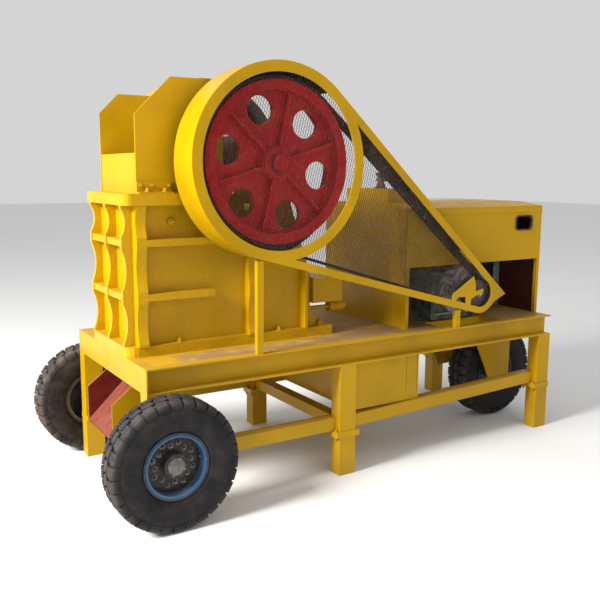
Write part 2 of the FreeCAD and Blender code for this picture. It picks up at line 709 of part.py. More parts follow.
def guard_top_leg():
    """The wide strip behind the guard's top bar, standing off the belts."""
    outer = loop_points(GUARD - BAR + 4, GUARD_END - 14)
    inner = loop_points(GUARD - BAR, GUARD_END - 18)
    corners = []
    for line, reaches in ((outer, (0.135, 0.82)), (inner, (0.82, 0.135))):
        along = line["small", "top"] - line["big", "top"]
        corners += [line["big", "top"] + along * reach for reach in reaches]
    face = Part.Face(Part.makePolygon(corners + corners[:1]))
    shaped("guard_top_leg", thick(face, ("guard_plate + mesh_thick", "hood_y - steel")))


def belt_guard_band():
    """The rolled sheet round the flywheel, open toward the engine where the belts leave."""
    shell = thick(disc(GUARD).cut(disc(GUARD - 6)), ("guard_plate", "guard_depth"))
    at = loop_points(GUARD, GUARD_END)
    shaft = spot(number("shaft_x"), number("shaft_z"))
    reach = 3
    mouth = Part.Face(Part.makePolygon([shaft, shaft + (at["big", "bottom"] - shaft) * reach,
                                        at["small", "front"] * reach - shaft * (reach - 1),
                                        shaft + (at["big", "top"] - shaft) * reach, shaft]))
    shaped("belt_guard_band", shell.cut(thick(mouth, ("-10", "guard_depth + 10"))))


def guard_meshes():
    """The expanded-metal sheets behind the guards' faces, as plain thin sheets."""
    y = ("guard_plate", "guard_plate + mesh_thick")
    round_sheet = thick(disc(number("guard_opening") + 30), y)
    long_sheet = thick(guard_window(12), y)
    far_sheet = thick(disc(number("guard_opening") + 30),
                      ("frame_width - guard_plate - mesh_thick", "frame_width - guard_plate"))
    shaped("guard_meshes", Part.Compound([round_sheet, long_sheet, far_sheet]))


def far_guard():
    """The far flywheel's guard: a ring face and a full band."""
    ring = thick(disc(GUARD).cut(disc(number("guard_opening"))),
                 ("frame_width - guard_plate", "frame_width"))
    band = thick(disc(GUARD).cut(disc(GUARD - 6)),
                 ("frame_width - guard_depth", "frame_width - guard_plate"))
    shaped("far_guard", ring.fuse(band).removeSplitter())


def drive_belts():
    """Four V-belts round the flywheel and the engine pulley, each one closed loop."""
    gap = number("belt_gap")
    inner = loop_face(number("flywheel_radius") + gap, number("pulley_radius") + gap)
    outer = loop_face(number("flywheel_radius + belt_thick") + gap, number("pulley_radius + belt_thick") + gap)
    ring = outer.cut(inner)
    belts = [thick(ring, ("belt_first + %d * belt_pitch" % i, "belt_first + %d * belt_pitch + belt_width" % i))
             for i in range(4)]
    shaped("drive_belts", Part.Compound(belts))


def guard_posts():
    """Flat bars that carry the guards from the rails."""
    near = ("guard_plate", "guard_plate + 30")
    pieces = [box(("626", "664"), across(near, side), ("deck_height", "1299")) for side in ("near", "far")]
    pieces.append(box(("880", "918"), across(near, "far"), ("deck_height", "1296")))
    pieces.append(box(("2052", "2090"), near, ("deck_height", "908")))
    finish("guard_posts", join(pieces))


# ---- engine and hood -----------------------------------------------------------------------------

def engine():
    """A four-cylinder diesel set across the frame: block, head, sump and side covers."""
    y = ("engine_y", "frame_width - engine_y")
    block = box(("engine_x", "engine_end"), y, ("deck_height", "1120"))
    head = box(("engine_x + 60", "engine_end - 60"), ("engine_y + 20", "frame_width - engine_y - 20"),
               ("1120", "engine_top"))
    sump = box(("engine_x + 50", "engine_end - 50"), ("engine_bearer_y + 100", "frame_width - engine_bearer_y - 100"),
               ("580", "deck_height"))
    filters = [post("engine_end + 45", y_place, ("860", "1060"), "42") for y_place in ("400", "520")]
    pad = box(("engine_end", "engine_end + 50"), ("380", "540"), ("1040", "1080"))
    finish("engine", join([block, head, sump, pad] + filters))


def exhaust_stack():
    pipe = post("1860", "560", ("hood_side_top + hood_crown + 90", "1762"), "24")
    cap = post("1860", "560", ("1742", "1762"), "34")
    finish("exhaust_stack", join([pipe, cap]))


def hood():
    """Sheet panels on four corner posts: sides open below, closed ends, a crowned lid and a cowl."""
    line = [("hood_x", "deck_height"), ("hood_x + hood_post", "deck_height"),
            ("hood_x + hood_post", "hood_open"), ("frame_length - hood_post", "hood_open"),
            ("frame_length - hood_post", "deck_height"), ("frame_length", "deck_height"),
            ("frame_length", "hood_side_top"), ("hood_x", "hood_side_top")]
    low, high, left, right, corner = "1386", "1476", "2688", "2840", "20"
    port = [(left + " + " + corner, low), (right + " - " + corner, low), (right, low + " + " + corner),
            (right, high + " - " + corner), (right + " - " + corner, high), (left + " + " + corner, high),
            (left, high + " - " + corner), (left, low + " + " + corner)]
    sides = [side_plate(line, across(("hood_y", "hood_y + hood_sheet"), side), holes=[port])
             for side in ("near", "far")]
    finish("hood_side_panels", join(sides))
    inside = ("hood_y + hood_sheet", "frame_width - hood_y - hood_sheet")
    ends = [box((x, x + " + hood_sheet"), inside, ("deck_height", "hood_side_top"))
            for x in ("hood_x", "frame_length - hood_sheet")]
    finish("hood_end_panels", join(ends))
    eaves = "hood_side_top + hood_lid"
    crown = "hood_side_top + hood_crown"
    lid = [("hood_y", "hood_side_top"), ("frame_width - hood_y", "hood_side_top"),
           ("frame_width - hood_y", eaves), ("frame_width - hood_y - 200", crown),
           ("hood_y + 200", crown), ("hood_y", eaves)]
    finish("hood_lid", end_profile(lid, ("hood_x", "frame_length")))
    finish("air_cowl", box(("hood_x + 20", "hood_x + 250"), (MIDDLE + " - 225", MIDDLE + " + 225"),
                           (crown, crown + " + 90")))


# ---- wheels --------------------------------------------------------------------------------------

def wheel(label, x, middle, outside):
    """A tyre and its rim; outside is -1 where the wheel's face looks to the near side, 1 to the far."""
    half = "tyre_width / 2"
    tread = turned([("%s * -0.7" % half, "rim_radius"), ("%s * -0.7" % half, "rim_radius + rim_flange + 2"),
                    ("%s * -0.95" % half, "rim_radius + 50"),
                    ("%s * -1" % half, "tyre_radius - 60"), ("%s * -0.93" % half, "tyre_radius - 16"),
                    ("%s * -0.8" % half, "tyre_radius"), ("%s * 0.8" % half, "tyre_radius"),
                    ("%s * 0.93" % half, "tyre_radius - 16"), (half, "tyre_radius - 60"),
                    ("%s * 0.95" % half, "rim_radius + 50"),
                    ("%s * 0.7" % half, "rim_radius + rim_flange + 2"), ("%s * 0.7" % half, "rim_radius")])
    finish(label + "_tyre", place(tread, x, middle, "tyre_radius"))
    rim_half = "rim_width / 2"
    face = "rim_width * 0.08 * %d" % outside
    hub_outer = "rim_width * 0.46 * %d" % outside
    hub_inner = "rim_width * -0.4 * %d" % outside
    bore = "axle_radius + running_gap"
    disc_line = [(face, "rim_radius - 5"), (face, "62"), (hub_outer, "62"), (hub_outer, bore),
                 (hub_inner, bore), (hub_inner, "62"), ("(%s) - 12 * %d" % (face, outside), "62"),
                 ("(%s) - 12 * %d" % (face, outside), "rim_radius - 5")]
    barrel = turned([("%s * -1" % rim_half, "rim_radius - 6"), (rim_half, "rim_radius - 6"),
                     (rim_half, "rim_radius + rim_flange"), ("%s - 3" % rim_half, "rim_radius + rim_flange"),
                     ("%s - 3" % rim_half, "rim_radius"), ("%s * -1 + 3" % rim_half, "rim_radius"),
                     ("%s * -1 + 3" % rim_half, "rim_radius + rim_flange"), ("%s * -1" % rim_half, "rim_radius + rim_flange")])
    pieces = [place(piece, x, middle, "tyre_radius") for piece in (barrel, turned(disc_line))]
    finish(label + "_rim", join(pieces))


def wheels():
    front_middle = "front_wheel_gap + tyre_width / 2"
    wheel("front_near_wheel", "front_wheel_x", "-(%s)" % front_middle, -1)
    wheel("front_far_wheel", "front_wheel_x", "frame_width + " + front_middle, 1)
    wheel("rear_wheel", "rear_wheel_x", "rear_wheel_y", -1)


def axles():
    """Stub axles out of the front legs, and one shaft for the rear wheel."""
    reach = "front_wheel_gap + tyre_width / 2 + rim_width * 0.42"
    stubs = [rod("front_wheel_x", across(("-(%s)" % reach, "0"), side), "tyre_radius", "axle_radius")
             for side in ("near", "far")]
    stubs += [box(("front_wheel_x - 62", "front_wheel_x + 62"), across(("-12", "0"), side),
                  ("tyre_radius - 62", "tyre_radius + 62")) for side in ("near", "far")]
    rear = rod("rear_wheel_x", ("engine_bearer_y + 50", "frame_width - engine_bearer_y - 50"),
               "tyre_radius", "axle_radius")
    finish("axles", join(stubs + [rear]))


def rear_axle_brackets():
    """Two plates that hang from the engine bearers and hold the rear axle."""
    top = "deck_height - cross_height - deck_plate"
    line = [("rear_wheel_x - 340", top), ("rear_wheel_x + 48", top),
            ("rear_wheel_x + 46", "tyre_radius - 45"), ("rear_wheel_x - 142", "tyre_radius - 45")]
    y = ("engine_bearer_y + cross_width - 12", "engine_bearer_y + cross_width")
    plates = [side_plate(line, across(y, side), circles=[("rear_wheel_x", "tyre_radius", "axle_radius")])
              for side in ("near", "far")]
    finish("rear_axle_brackets", join(plates))


# ---- build, check and write ----------------------------------------------------------------------

main_rails()
end_beams()
cross_beams()
crusher_bearers()
engine_bearers()
deck_plates()
legs()
bolt_on_feet()
lower_rails()
fuel_tank()
discharge_chute()
crusher_base()
crusher_side_walls()
crusher_front_wall()
crusher_rear_wall()
top_flange()
jaws()
bearing_housings()
tension_rods()
hopper()
eccentric_shaft()
flywheel("flywheel_near", "near")
flywheel("flywheel_far", "far")
engine_pulley()
belt_guard_frame()
guard_top_leg()
belt_guard_band()
guard_meshes()
far_guard()
guard_posts()
drive_belts()
engine()
exhaust_stack()
hood()
wheels()
axles()
rear_axle_brackets()
doc.recompute()

for piece in doc.Objects:
    for state in piece.State:
        if state in ("Invalid", "Error"):
            raise RuntimeError("%s is %s" % (piece.Label, state))

os.makedirs("parts", exist_ok=True)
for piece in FINISHED:
    shape = piece.Shape
    if shape.isNull() or not shape.isValid() or not shape.Solids:
        raise RuntimeError("%s has no sound solid" % piece.Label)
    shape.exportStep("parts/%s.step" % piece.Label)
    print("%-26s solids %2d  volume %.1f l" % (piece.Label, len(shape.Solids), shape.Volume / 1e6))
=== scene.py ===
import math

import bpy
from mathutils import Matrix, Vector


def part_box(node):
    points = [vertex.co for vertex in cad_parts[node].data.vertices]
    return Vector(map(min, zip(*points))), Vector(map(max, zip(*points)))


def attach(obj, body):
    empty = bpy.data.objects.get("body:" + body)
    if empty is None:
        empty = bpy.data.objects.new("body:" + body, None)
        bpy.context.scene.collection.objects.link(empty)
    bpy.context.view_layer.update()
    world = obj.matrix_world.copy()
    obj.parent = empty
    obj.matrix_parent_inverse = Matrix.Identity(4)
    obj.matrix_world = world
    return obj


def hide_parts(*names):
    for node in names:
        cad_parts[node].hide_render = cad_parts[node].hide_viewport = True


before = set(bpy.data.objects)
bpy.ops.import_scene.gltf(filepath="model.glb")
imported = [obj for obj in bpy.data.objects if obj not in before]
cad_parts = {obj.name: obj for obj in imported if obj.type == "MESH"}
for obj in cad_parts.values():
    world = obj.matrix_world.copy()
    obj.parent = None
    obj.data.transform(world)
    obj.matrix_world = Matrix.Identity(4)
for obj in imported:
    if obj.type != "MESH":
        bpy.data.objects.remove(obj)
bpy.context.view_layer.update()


# ---- The frame --------------------------------------------------------------------------------
# Two rolled channels joined by cross beams, all mild steel. They are welded together, then sprayed
# with one thick coat of yellow enamel that picks up road dust on every ledge.

class Amount:
    """A number, colour or direction that varies over a surface. Sums of numbers add Math nodes."""

    def __init__(self, finish, socket):
        self.finish = finish
        self.socket = socket

    def sum(self, operation, first, second):
        return self.finish.node("Math", {"operation": operation}, {0: first, 1: second})

    def __add__(self, other):
        return self.sum("ADD", self, other)

    def __rsub__(self, other):
        return self.sum("SUBTRACT", other, self)

    def __mul__(self, other):
        return self.sum("MULTIPLY", self, other)

    def __abs__(self):
        return self.sum("ABSOLUTE", self, 0.0)

    __radd__ = __add__
    __rmul__ = __mul__


class Finish:
    """One material. Its constant sockets are set straight away and the varying ones are fed later."""

    def __init__(self, name, **fixed):
        self.material = bpy.data.materials.new(name)
        self.material.use_nodes = True
        self.tree = self.material.node_tree
        self.shader = self.tree.nodes["Principled BSDF"]
        for socket, value in fixed.items():
            self.shader.inputs[socket.replace("_", " ")].default_value = value

    def node(self, kind, settings=None, inputs=None, output=0):
        made = self.tree.nodes.new("ShaderNode" + kind)
        for setting, value in (settings or {}).items():
            if setting == "stops":
                while len(made.color_ramp.elements) < len(value):
                    made.color_ramp.elements.new(0.5)
                for stop, (spot, colour) in zip(made.color_ramp.elements, value):
                    stop.position = spot
                    stop.color = colour
            else:
                setattr(made, setting, value)
        for socket, value in (inputs or {}).items():
            if isinstance(value, Amount):
                self.tree.links.new(value.socket, made.inputs[socket])
            else:
                made.inputs[socket].default_value = value
        return Amount(self, made.outputs[output])

    def feed(self, **varying):
        for socket, value in varying.items():
            self.tree.links.new(value.socket, self.shader.inputs[socket.replace("_", " ")])

    def spot(self, centre=(0, 0, 0), stretch=(1, 1, 1), turn=(0, 0, 0)):
        """The place on the piece, measured from a centre, stretched and turned."""
        where = self.node("TexCoord", output=3)
        moved = self.node("VectorMath", {"operation": "SUBTRACT"}, {0: where, 1: centre})
        return self.node("Mapping", {}, {"Vector": moved, "Rotation": turn, "Scale": stretch})

    def part(self, vector, axis):
        return self.node("SeparateXYZ", {}, {0: vector}, "XYZ".index(axis))

    def facing(self, axis):
        return self.part(self.node("TexCoord", output=1), axis)

    def from_axle(self, centre):
        """The distance from a line along Y through a centre."""
        across = self.spot(centre, (1, 0, 1))
        return self.node("VectorMath", {"operation": "LENGTH"}, {0: across}, 1)

    def noise(self, size, detail=4.0, rough=0.55, where=None):
        inputs = {"Scale": 1.0 / size, "Detail": detail, "Roughness": rough, "Vector": where or self.spot()}
        return self.node("TexNoise", {}, inputs)

    def cells(self, size, where=None, feature="F1"):
        inputs = {"Scale": 1.0 / size, "Vector": where or self.spot()}
        return self.node("TexVoronoi", {"feature": feature}, inputs)

    def step(self, value, low, high, start=0.0, end=1.0):
        """Runs from start to end as the value runs from low to high, and stays there outside."""
        return self.node("MapRange", {"interpolation_type": "SMOOTHSTEP"},
                         {0: value, 1: low, 2: high, 3: start, 4: end})

    def mix(self, share, under, over):
        return self.node("Mix", {"data_type": "RGBA"}, {0: share, 6: under, 7: over}, 2)

    def bump(self, height, depth, strength=1.0, under=None):
        inputs = {"Height": height, "Distance": depth, "Strength": strength}
        if under is not None:
            inputs["Normal"] = under
        return self.node("Bump", {}, inputs)


DUST = (0.40, 0.24, 0.06, 1)
RUST = (0.11, 0.045, 0.02, 1)


def enamel(name, colour, cast=0.0, dust=0.5, chips=0.3, gloss=0.34, shade=None):
    """Sprayed enamel: uneven thickness, road dust on ledges, scuffs and small rusty chips."""
    paint = Finish(name, IOR=1.45, Specular_IOR_Level=0.20, Coat_Weight=0.04, Coat_Roughness=0.18)
    broad = paint.noise(0.55, 3.0)
    cloud = paint.noise(0.09, 5.0, 0.6)
    streak = paint.noise(0.05, 4.0, 0.6, paint.spot(stretch=(1, 1, 0.12)))
    fine = paint.noise(0.006, 3.0)
    thin = tuple(c * 0.80 for c in colour[:3]) + (1,)
    worn = tuple(c * 0.98 + 0.008 for c in colour[:3]) + (1,)
    grimy = tuple(c * 0.62 for c in colour[:3]) + (1,)
    base = paint.mix(paint.step(broad, 0.35, 0.7), colour, thin)
    base = paint.mix(paint.step(streak, 0.52, 0.78, 0, 0.35), base, worn)
    base = paint.mix(paint.step(cloud, 0.58, 0.8, 0, 0.30), base, grimy)
    if shade is not None:
        base = shade(paint, base)
    ledge = paint.step(paint.facing("Z"), 0.35, 0.95)
    settled = ledge * paint.step(cloud + broad * 0.6, 0.46, 1.05) * (dust * 0.7)
    low = paint.step(paint.part(paint.spot(), "Z"), 0.55, 0.0) * paint.step(cloud, 0.35, 0.7) * (0.25 * dust)
    film = paint.node("Math", {"operation": "MAXIMUM"}, {0: settled, 1: low})
    base = paint.mix(film, base, DUST)
    speck = paint.cells(0.034)
    chip = paint.step(speck + fine * 0.1, 0.155, 0.12) * paint.step(cloud, 0.56, 0.62) * chips
    base = paint.mix(chip, base, RUST)
    skin = paint.bump(fine, 0.0004, 0.5)
    skin = paint.bump(chip * -1.0, 0.0006, 0.6, skin)
    if cast:
        skin = paint.bump(paint.noise(0.022, 4.0, 0.65), 0.0035 * cast, 0.7, skin)
    skin = paint.bump(paint.noise(0.16, 2.0), 0.004, 0.35, skin)
    sheen = paint.step(cloud, 0.3, 0.75, gloss - 0.08, gloss + 0.16)
    paint.feed(Base_Color=base, Normal=skin, Roughness=sheen + film * 0.4 + chip * 0.3)
    return paint.material


def dress(nodes, material):
    """Gives carried-over pieces their finish."""
    for node in nodes:
        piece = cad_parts[node]
        piece.data.materials.clear()
        piece.data.materials.append(material)


YELLOW = (0.50, 0.283, 0.0012, 1)
frame_yellow = enamel("welded_frame_yellow", YELLOW, dust=0.75, chips=0.5)
dress(["main_rails", "end_beams", "cross_beams", "crusher_bearers", "engine_bearers"], frame_yellow)
rail_low, rail_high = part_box("main_rails")


# ---- Legs and feet ----------------------------------------------------------------------------
# Six box legs cut from plate, with short feet bolted under them so that the wheels can hang free.
# Zinc bolts go through each pair of flanges; the paint was sprayed over them.

def only(*pieces):
    """Selects these pieces and nothing else."""
    bpy.ops.object.select_all(action="DESELECT")
    for piece in pieces:
        piece.select_set(True)
    bpy.context.view_layer.objects.active = pieces[-1]


def open_up(piece):
    """Opens a piece for shaping with all of it selected."""
    only(piece)
    bpy.ops.object.mode_set(mode="EDIT")
    bpy.ops.mesh.select_all(action="SELECT")


def choose(piece, parts, wanted):
    """Opens a piece for shaping with only the wanted ones of its vertices or faces selected."""
    open_up(piece)
    bpy.ops.mesh.select_all(action="DESELECT")
    bpy.ops.object.mode_set(mode="OBJECT")
    for part in parts:
        part.select = wanted(part)
    bpy.ops.object.mode_set(mode="EDIT")


def close_up():
    bpy.ops.object.mode_set(mode="OBJECT")


def begin(name, add, **size):
    """Adds a primitive with nothing else selected."""
    bpy.ops.object.select_all(action="DESELECT")
    add(**size)
    piece = bpy.context.object
    piece.name = name
    piece.data.name = name
    return piece


def settle(piece, angle=35):
    """Puts the piece's place into its mesh, points its faces outward and smooths its round sides."""
    only(piece)
    bpy.ops.object.transform_apply(location=True, rotation=True, scale=True)
    open_up(piece)
    bpy.ops.mesh.remove_doubles(threshold=0.00001)
    bpy.ops.mesh.normals_make_consistent(inside=False)
    close_up()
    bpy.ops.object.shade_smooth_by_angle(angle=math.radians(angle))
    return piece


def rounded(piece, width, segments=1, angle=40):
    """Breaks the piece's sharp edges."""
    only(piece)
    bevel = piece.modifiers.new("edges", "BEVEL")
    bevel.width = width
    bevel.segments = segments
    bevel.limit_method = "ANGLE"
    bevel.angle_limit = math.radians(angle)
    bpy.ops.object.modifier_apply(modifier=bevel.name)
    return piece


def bar(name, size, middle=(0, 0, 0)):
    """A square-edged bar to be shaped further."""
    piece = begin(name, bpy.ops.mesh.primitive_cube_add, size=1, location=middle)
    piece.scale = size
    bpy.ops.object.transform_apply(location=True, rotation=True, scale=True)
    return piece


def block(name, low, high, soften=0.002):
    """A bar or plate between two corners, with its edges broken."""
    low, high = Vector(low), Vector(high)
    piece = bar(name, high - low, (low + high) / 2)
    return rounded(piece, soften) if soften else piece


def copies(piece, places):
    """Copies of a piece, each with its own mesh, at 4x4 placements. The pattern itself is removed."""
    made = []
    for place in places:
        copy = piece.copy()
        copy.data = piece.data.copy()
        copy.data.transform(place)
        bpy.context.scene.collection.objects.link(copy)
        made.append(copy)
    bpy.data.objects.remove(piece)
    return made


def joined(name, pieces):
    """One piece made of several."""
    only(*pieces)
    if len(pieces) > 1:
        bpy.ops.object.join()
    piece = bpy.context.object
    piece.name = name
    piece.data.name = name
    piece.data.materials.clear()
    return piece


def wear(piece, material, body):
    """Finishes a new piece: its material and the body it rides on."""
    piece.data.materials.clear()
    piece.data.materials.append(material)
    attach(piece, body)
    return piece


def faces_up(face):
    return face.normal.z > 0.9


def hexagon_bolt(across, height, washer=1.0):
    """A bolt head standing on +Z at the origin, with its washer, chamfer and rounded thread end."""
    thick = across * 0.16 * washer
    round_bar = bpy.ops.mesh.primitive_cylinder_add
    ring = begin("washer", round_bar, vertices=20, radius=across * 0.95, depth=thick,
                 location=(0, 0, thick / 2))
    rounded(ring, across * 0.04)
    head = begin("head", round_bar, vertices=6, radius=across * 0.577, depth=height,
                 location=(0, 0, height / 2 + thick))
    choose(head, head.data.polygons, faces_up)
    bpy.ops.mesh.bevel(offset=across * 0.07, segments=1, affect="EDGES")
    close_up()
    thread = begin("thread", round_bar, vertices=14, radius=across * 0.3, depth=height * 0.5,
                   location=(0, 0, height * 1.2 + thick))
    rounded(thread, across * 0.05)
    return settle(joined("bolt", [ring, head, thread]))


def toward(direction, spot, turn=0.0):
    """A placement that points a piece's +Z along a direction and puts its origin on a spot."""
    lean = Vector((0, 0, 1)).rotation_difference(Vector(direction)).to_matrix().to_4x4()
    return Matrix.Translation(Vector(spot)) @ lean @ Matrix.Rotation(turn, 4, "Z")


dress(["legs", "bolt_on_feet", "lower_rails"], enamel("leg_yellow", YELLOW, dust=0.9, chips=0.7))
bolt_yellow = enamel("painted_bolt_yellow", (0.47, 0.26, 0.004, 1), dust=0.5, chips=1.0)
leg_low, leg_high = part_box("legs")
LEG_WIDTH, LEG_DEPTH, MIDDLE_LEG, REAR_RISE = 0.111, 0.090, 1.165, 0.055
FLANGE, BOLT_IN, BOLT_EDGE, BOLT_CORNER = 0.016, 0.012, 0.022, 0.028
rear_leg = leg_high.x - LEG_WIDTH
rear_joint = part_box("bolt_on_feet")[1].z
bolts = []
for start in (leg_low.x, leg_low.x + MIDDLE_LEG, rear_leg):
    joint = rear_joint if start == rear_leg else rear_joint - REAR_RISE
    beside = [start - BOLT_IN, start + LEG_WIDTH + BOLT_IN]
    if start == leg_low.x:
        beside = beside[1:]
    if start == rear_leg:
        beside = beside[:1]
    for edge, inward in ((rail_low.y, 1), (rail_high.y, -1)):
        outer_y = edge + inward * BOLT_EDGE
        inner_y = edge + inward * (LEG_DEPTH + BOLT_IN)
        bolts += [(x, y, joint) for x in beside for y in (outer_y, inner_y)]
        bolts += [(x, inner_y, joint) for x in (start + BOLT_CORNER, start + LEG_WIDTH - BOLT_CORNER)]
heads = copies(hexagon_bolt(0.017, 0.010), [toward((0, 0, 1), (x, y, z + FLANGE)) for x, y, z in bolts])
nuts = copies(hexagon_bolt(0.017, 0.013), [toward((0, 0, -1), (x, y, z - FLANGE)) for x, y, z in bolts])
wear(settle(joined("leg_bolts", heads + nuts)), bolt_yellow, "plant")


# ---- Deck -------------------------------------------------------------------------------------
# Chequer plate screwed down between the rails. Its paint has been walked off the raised pattern and
# dust lies in the hollows, so it looks tan rather than yellow.

def chequer_deck():
    deck = Finish("dusty_chequer_plate", IOR=1.5)
    cloud = deck.noise(0.16, 5.0)
    grit = deck.noise(0.008, 4.0)
    across = deck.spot(turn=(0, 0, math.radians(45)), stretch=(1, 1, 0))
    hollow = deck.node("TexBrick", {"offset": 0.5}, {
        "Vector": across, "Scale": 1.0, "Brick Width": 0.036, "Row Height": 0.018, "Mortar Size": 0.0045}, 1)
    raised = 1.0 - hollow
    sand = deck.mix(deck.step(grit, 0.3, 0.7), (0.34, 0.20, 0.075, 1), (0.25, 0.14, 0.05, 1))
    paint = deck.mix(deck.step(cloud, 0.5, 0.75), sand, (0.46, 0.29, 0.02, 1))
    rubbed = deck.mix(raised * deck.step(cloud, 0.4, 0.7) * 0.35, paint, (0.50, 0.35, 0.13, 1))
    along = deck.part(deck.spot(), "X") + cloud * 0.2
    rubbed = deck.mix(deck.step(along, rail_low.x + 0.36, rail_low.x + 0.26), rubbed, YELLOW)
    height = deck.bump(raised, 0.0012, 0.5)
    deck.feed(Base_Color=rubbed, Roughness=deck.step(cloud, 0.3, 0.8, 0.62, 0.85),
              Normal=deck.bump(grit, 0.0006, 0.5, height))
    return deck.material


dress(["deck_plates"], chequer_deck())


# ---- Fuel tank --------------------------------------------------------------------------------
# A folded sheet tank slung between the rails. The front sheet is flanged over the end sheets, and
# it has a drain plug underneath.

tank_low, tank_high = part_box("fuel_tank")
dress(["fuel_tank"], enamel("tank_yellow", YELLOW, dust=0.5, chips=0.35, gloss=0.3))
SEAM_PROUD, MIDDLE_SEAM = 0.004, 0.404
seams = []
for out in (-1, 1):
    face = out * tank_high.y
    near, far = sorted((face, face + out * SEAM_PROUD))
    for start, end in ((tank_low.x + 0.003, tank_low.x + 0.021),
                       (tank_low.x + MIDDLE_SEAM, tank_low.x + MIDDLE_SEAM + 0.018),
                       (tank_high.x - 0.012, tank_high.x - 0.002)):
        seams.append(block("seam", (start, near, tank_low.z + 0.004),
                           (end, far, tank_high.z - 0.003), 0.0015))
wear(settle(joined("tank_seams", seams)), frame_yellow, "plant")
plug = hexagon_bolt(0.034, 0.018)
plug.data.transform(toward((0, 0, -1), ((tank_low.x + tank_high.x) / 2, 0, tank_low.z + 0.001)))
wear(joined("tank_drain_plug", [plug]), bolt_yellow, "plant")


# ---- Discharge chute --------------------------------------------------------------------------
# Welded plate. Outside it has the same yellow as the frame, but the inside was only given red oxide
# primer. The floor is painted paler: polish from falling stone plus a painted highlight where it faces up.

chute_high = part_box("discharge_chute")[1]


def chute_lining(paint, base):
    """Red oxide between the two walls and over the floor, paler on the floor: stone wear plus painted
    highlight.
    """
    side = paint.step(abs(paint.part(paint.spot(), "Y")), chute_high.y - 0.005, chute_high.y - 0.003)
    upward = paint.step(paint.facing("Z"), -0.35, -0.30)
    stone = paint.noise(0.03, 5.0, 0.7, paint.spot(stretch=(0.4, 1, 0.4)))
    floor = paint.step(paint.facing("Z"), 0.2, 0.4)
    red = paint.mix(paint.step(stone, 0.35, 0.7), (0.105, 0.010, 0.008, 1), (0.15, 0.018, 0.013, 1))
    # Paler pink on the up-facing floor: partly wear from stone, partly a painted highlight for the lit floor.
    scoured_and_painted_highlight = paint.mix(floor * paint.step(stone, 0.25, 0.75, 0.35, 0.9), red, (0.24, 0.060, 0.048, 1))
    return paint.mix((1.0 - side) * upward, base, scoured_and_painted_highlight)


chute_paint = enamel("chute_paint", YELLOW, dust=0.15, chips=0.4, gloss=0.45, shade=chute_lining)
dress(["discharge_chute"], chute_paint)


# ---- Crusher body -----------------------------------------------------------------------------
# Steel castings: a ribbed box with a heavy flange at its foot and another round the feed mouth. The
# skin is slightly rough from the sand mould, under the same yellow enamel.

CAST_YELLOW = (0.52, 0.294, 0.0012, 1)
cast_yellow = enamel("cast_crusher_yellow", CAST_YELLOW, cast=1.0, gloss=0.27)
dress(["crusher_base", "crusher_side_wall_near", "crusher_side_wall_far", "crusher_front_wall",
       "crusher_rear_wall", "top_flange", "bearing_housings"], cast_yellow)
base_low, base_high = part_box("crusher_base")
studs = []
for x, inset, across in ((base_high.x - 0.062, 0.040, 0.036), (base_low.x + 0.30, 0.023, 0.023),
                         (base_low.x + 0.92, 0.023, 0.023)):
    y = base_high.y - inset
    places = [toward((0, 0, 1), (x, side * y, base_high.z)) for side in (-1, 1)]
    studs += copies(hexagon_bolt(across, across * 0.66), places)
wear(joined("holding_down_bolts", studs), bolt_yellow, "plant")

WALL_FACE, BOSS_HEIGHT, BOSS_DEEP = 0.265, 1.497, 0.016
boss_x = base_low.x + 0.27
bosses = []
for side in (-1, 1):
    middle = (boss_x, side * (WALL_FACE + BOSS_DEEP / 2), BOSS_HEIGHT)
    boss = begin("boss", bpy.ops.mesh.primitive_cylinder_add, vertices=32, radius=0.021, depth=BOSS_DEEP,
                 location=middle, rotation=(math.pi / 2, 0, 0))
    bosses.append(rounded(boss, 0.003, 2))
    outside = toward((0, side, 0), (boss_x, side * (WALL_FACE + BOSS_DEEP), BOSS_HEIGHT))
    bosses += copies(hexagon_bolt(0.018, 0.011), [outside])
wear(settle(joined("wall_bosses", bosses)), cast_yellow, "plant")


def gusset(side):
    """A three-cornered plate between the rear wall and the tail of the base."""
    low = Vector((base_low.x + 1.151, side * 0.252 - 0.009, base_high.z))
    plate = block("gusset", low, low + Vector((0.09, 0.018, 0.085)), 0.0)
    open_up(plate)
    bpy.ops.mesh.bisect(plane_co=low + Vector((0.012, 0, 0.08)), plane_no=(1, 0, 1), clear_outer=True,
                        use_fill=True)
    close_up()
    return rounded(plate, 0.002)


wear(settle(joined("lug_gussets", [gusset(-1), gusset(1)])), cast_yellow, "plant")


# ---- Jaws -------------------------------------------------------------------------------------
# Manganese steel plates with upright teeth, bolted to the front wall and to the swing jaw. The tips
# of the teeth are polished bright by stone and the valleys are brown with dust.

def jaw_steel():
    steel = Finish("worn_manganese_steel", IOR=2.2)
    cloud = steel.noise(0.06, 5.0, 0.65)
    pit = steel.noise(0.010, 5.0, 0.7)
    scored = steel.noise(0.004, 3.0, 0.5, steel.spot(stretch=(1, 1, 0.06)))
    tone = steel.mix(steel.step(cloud, 0.35, 0.7), (0.10, 0.085, 0.07, 1), (0.26, 0.25, 0.24, 1))
    tone = steel.mix(steel.step(pit, 0.55, 0.7, 0, 0.7), tone, (0.16, 0.085, 0.04, 1))
    steel.feed(Base_Color=tone, Metallic=steel.step(cloud, 0.35, 0.6, 0.35, 0.9),
               Roughness=steel.step(scored, 0.3, 0.7, 0.32, 0.62),
               Normal=steel.bump(scored, 0.0006, 0.5, steel.bump(pit, 0.0018, 0.8)))
    return steel.material


worn_steel = jaw_steel()
dress(["fixed_jaw", "swing_jaw"], worn_steel)
jaw_low, jaw_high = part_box("fixed_jaw")
TEETH, TOOTH_DEPTH, CREST = 9, 0.020, 0.34


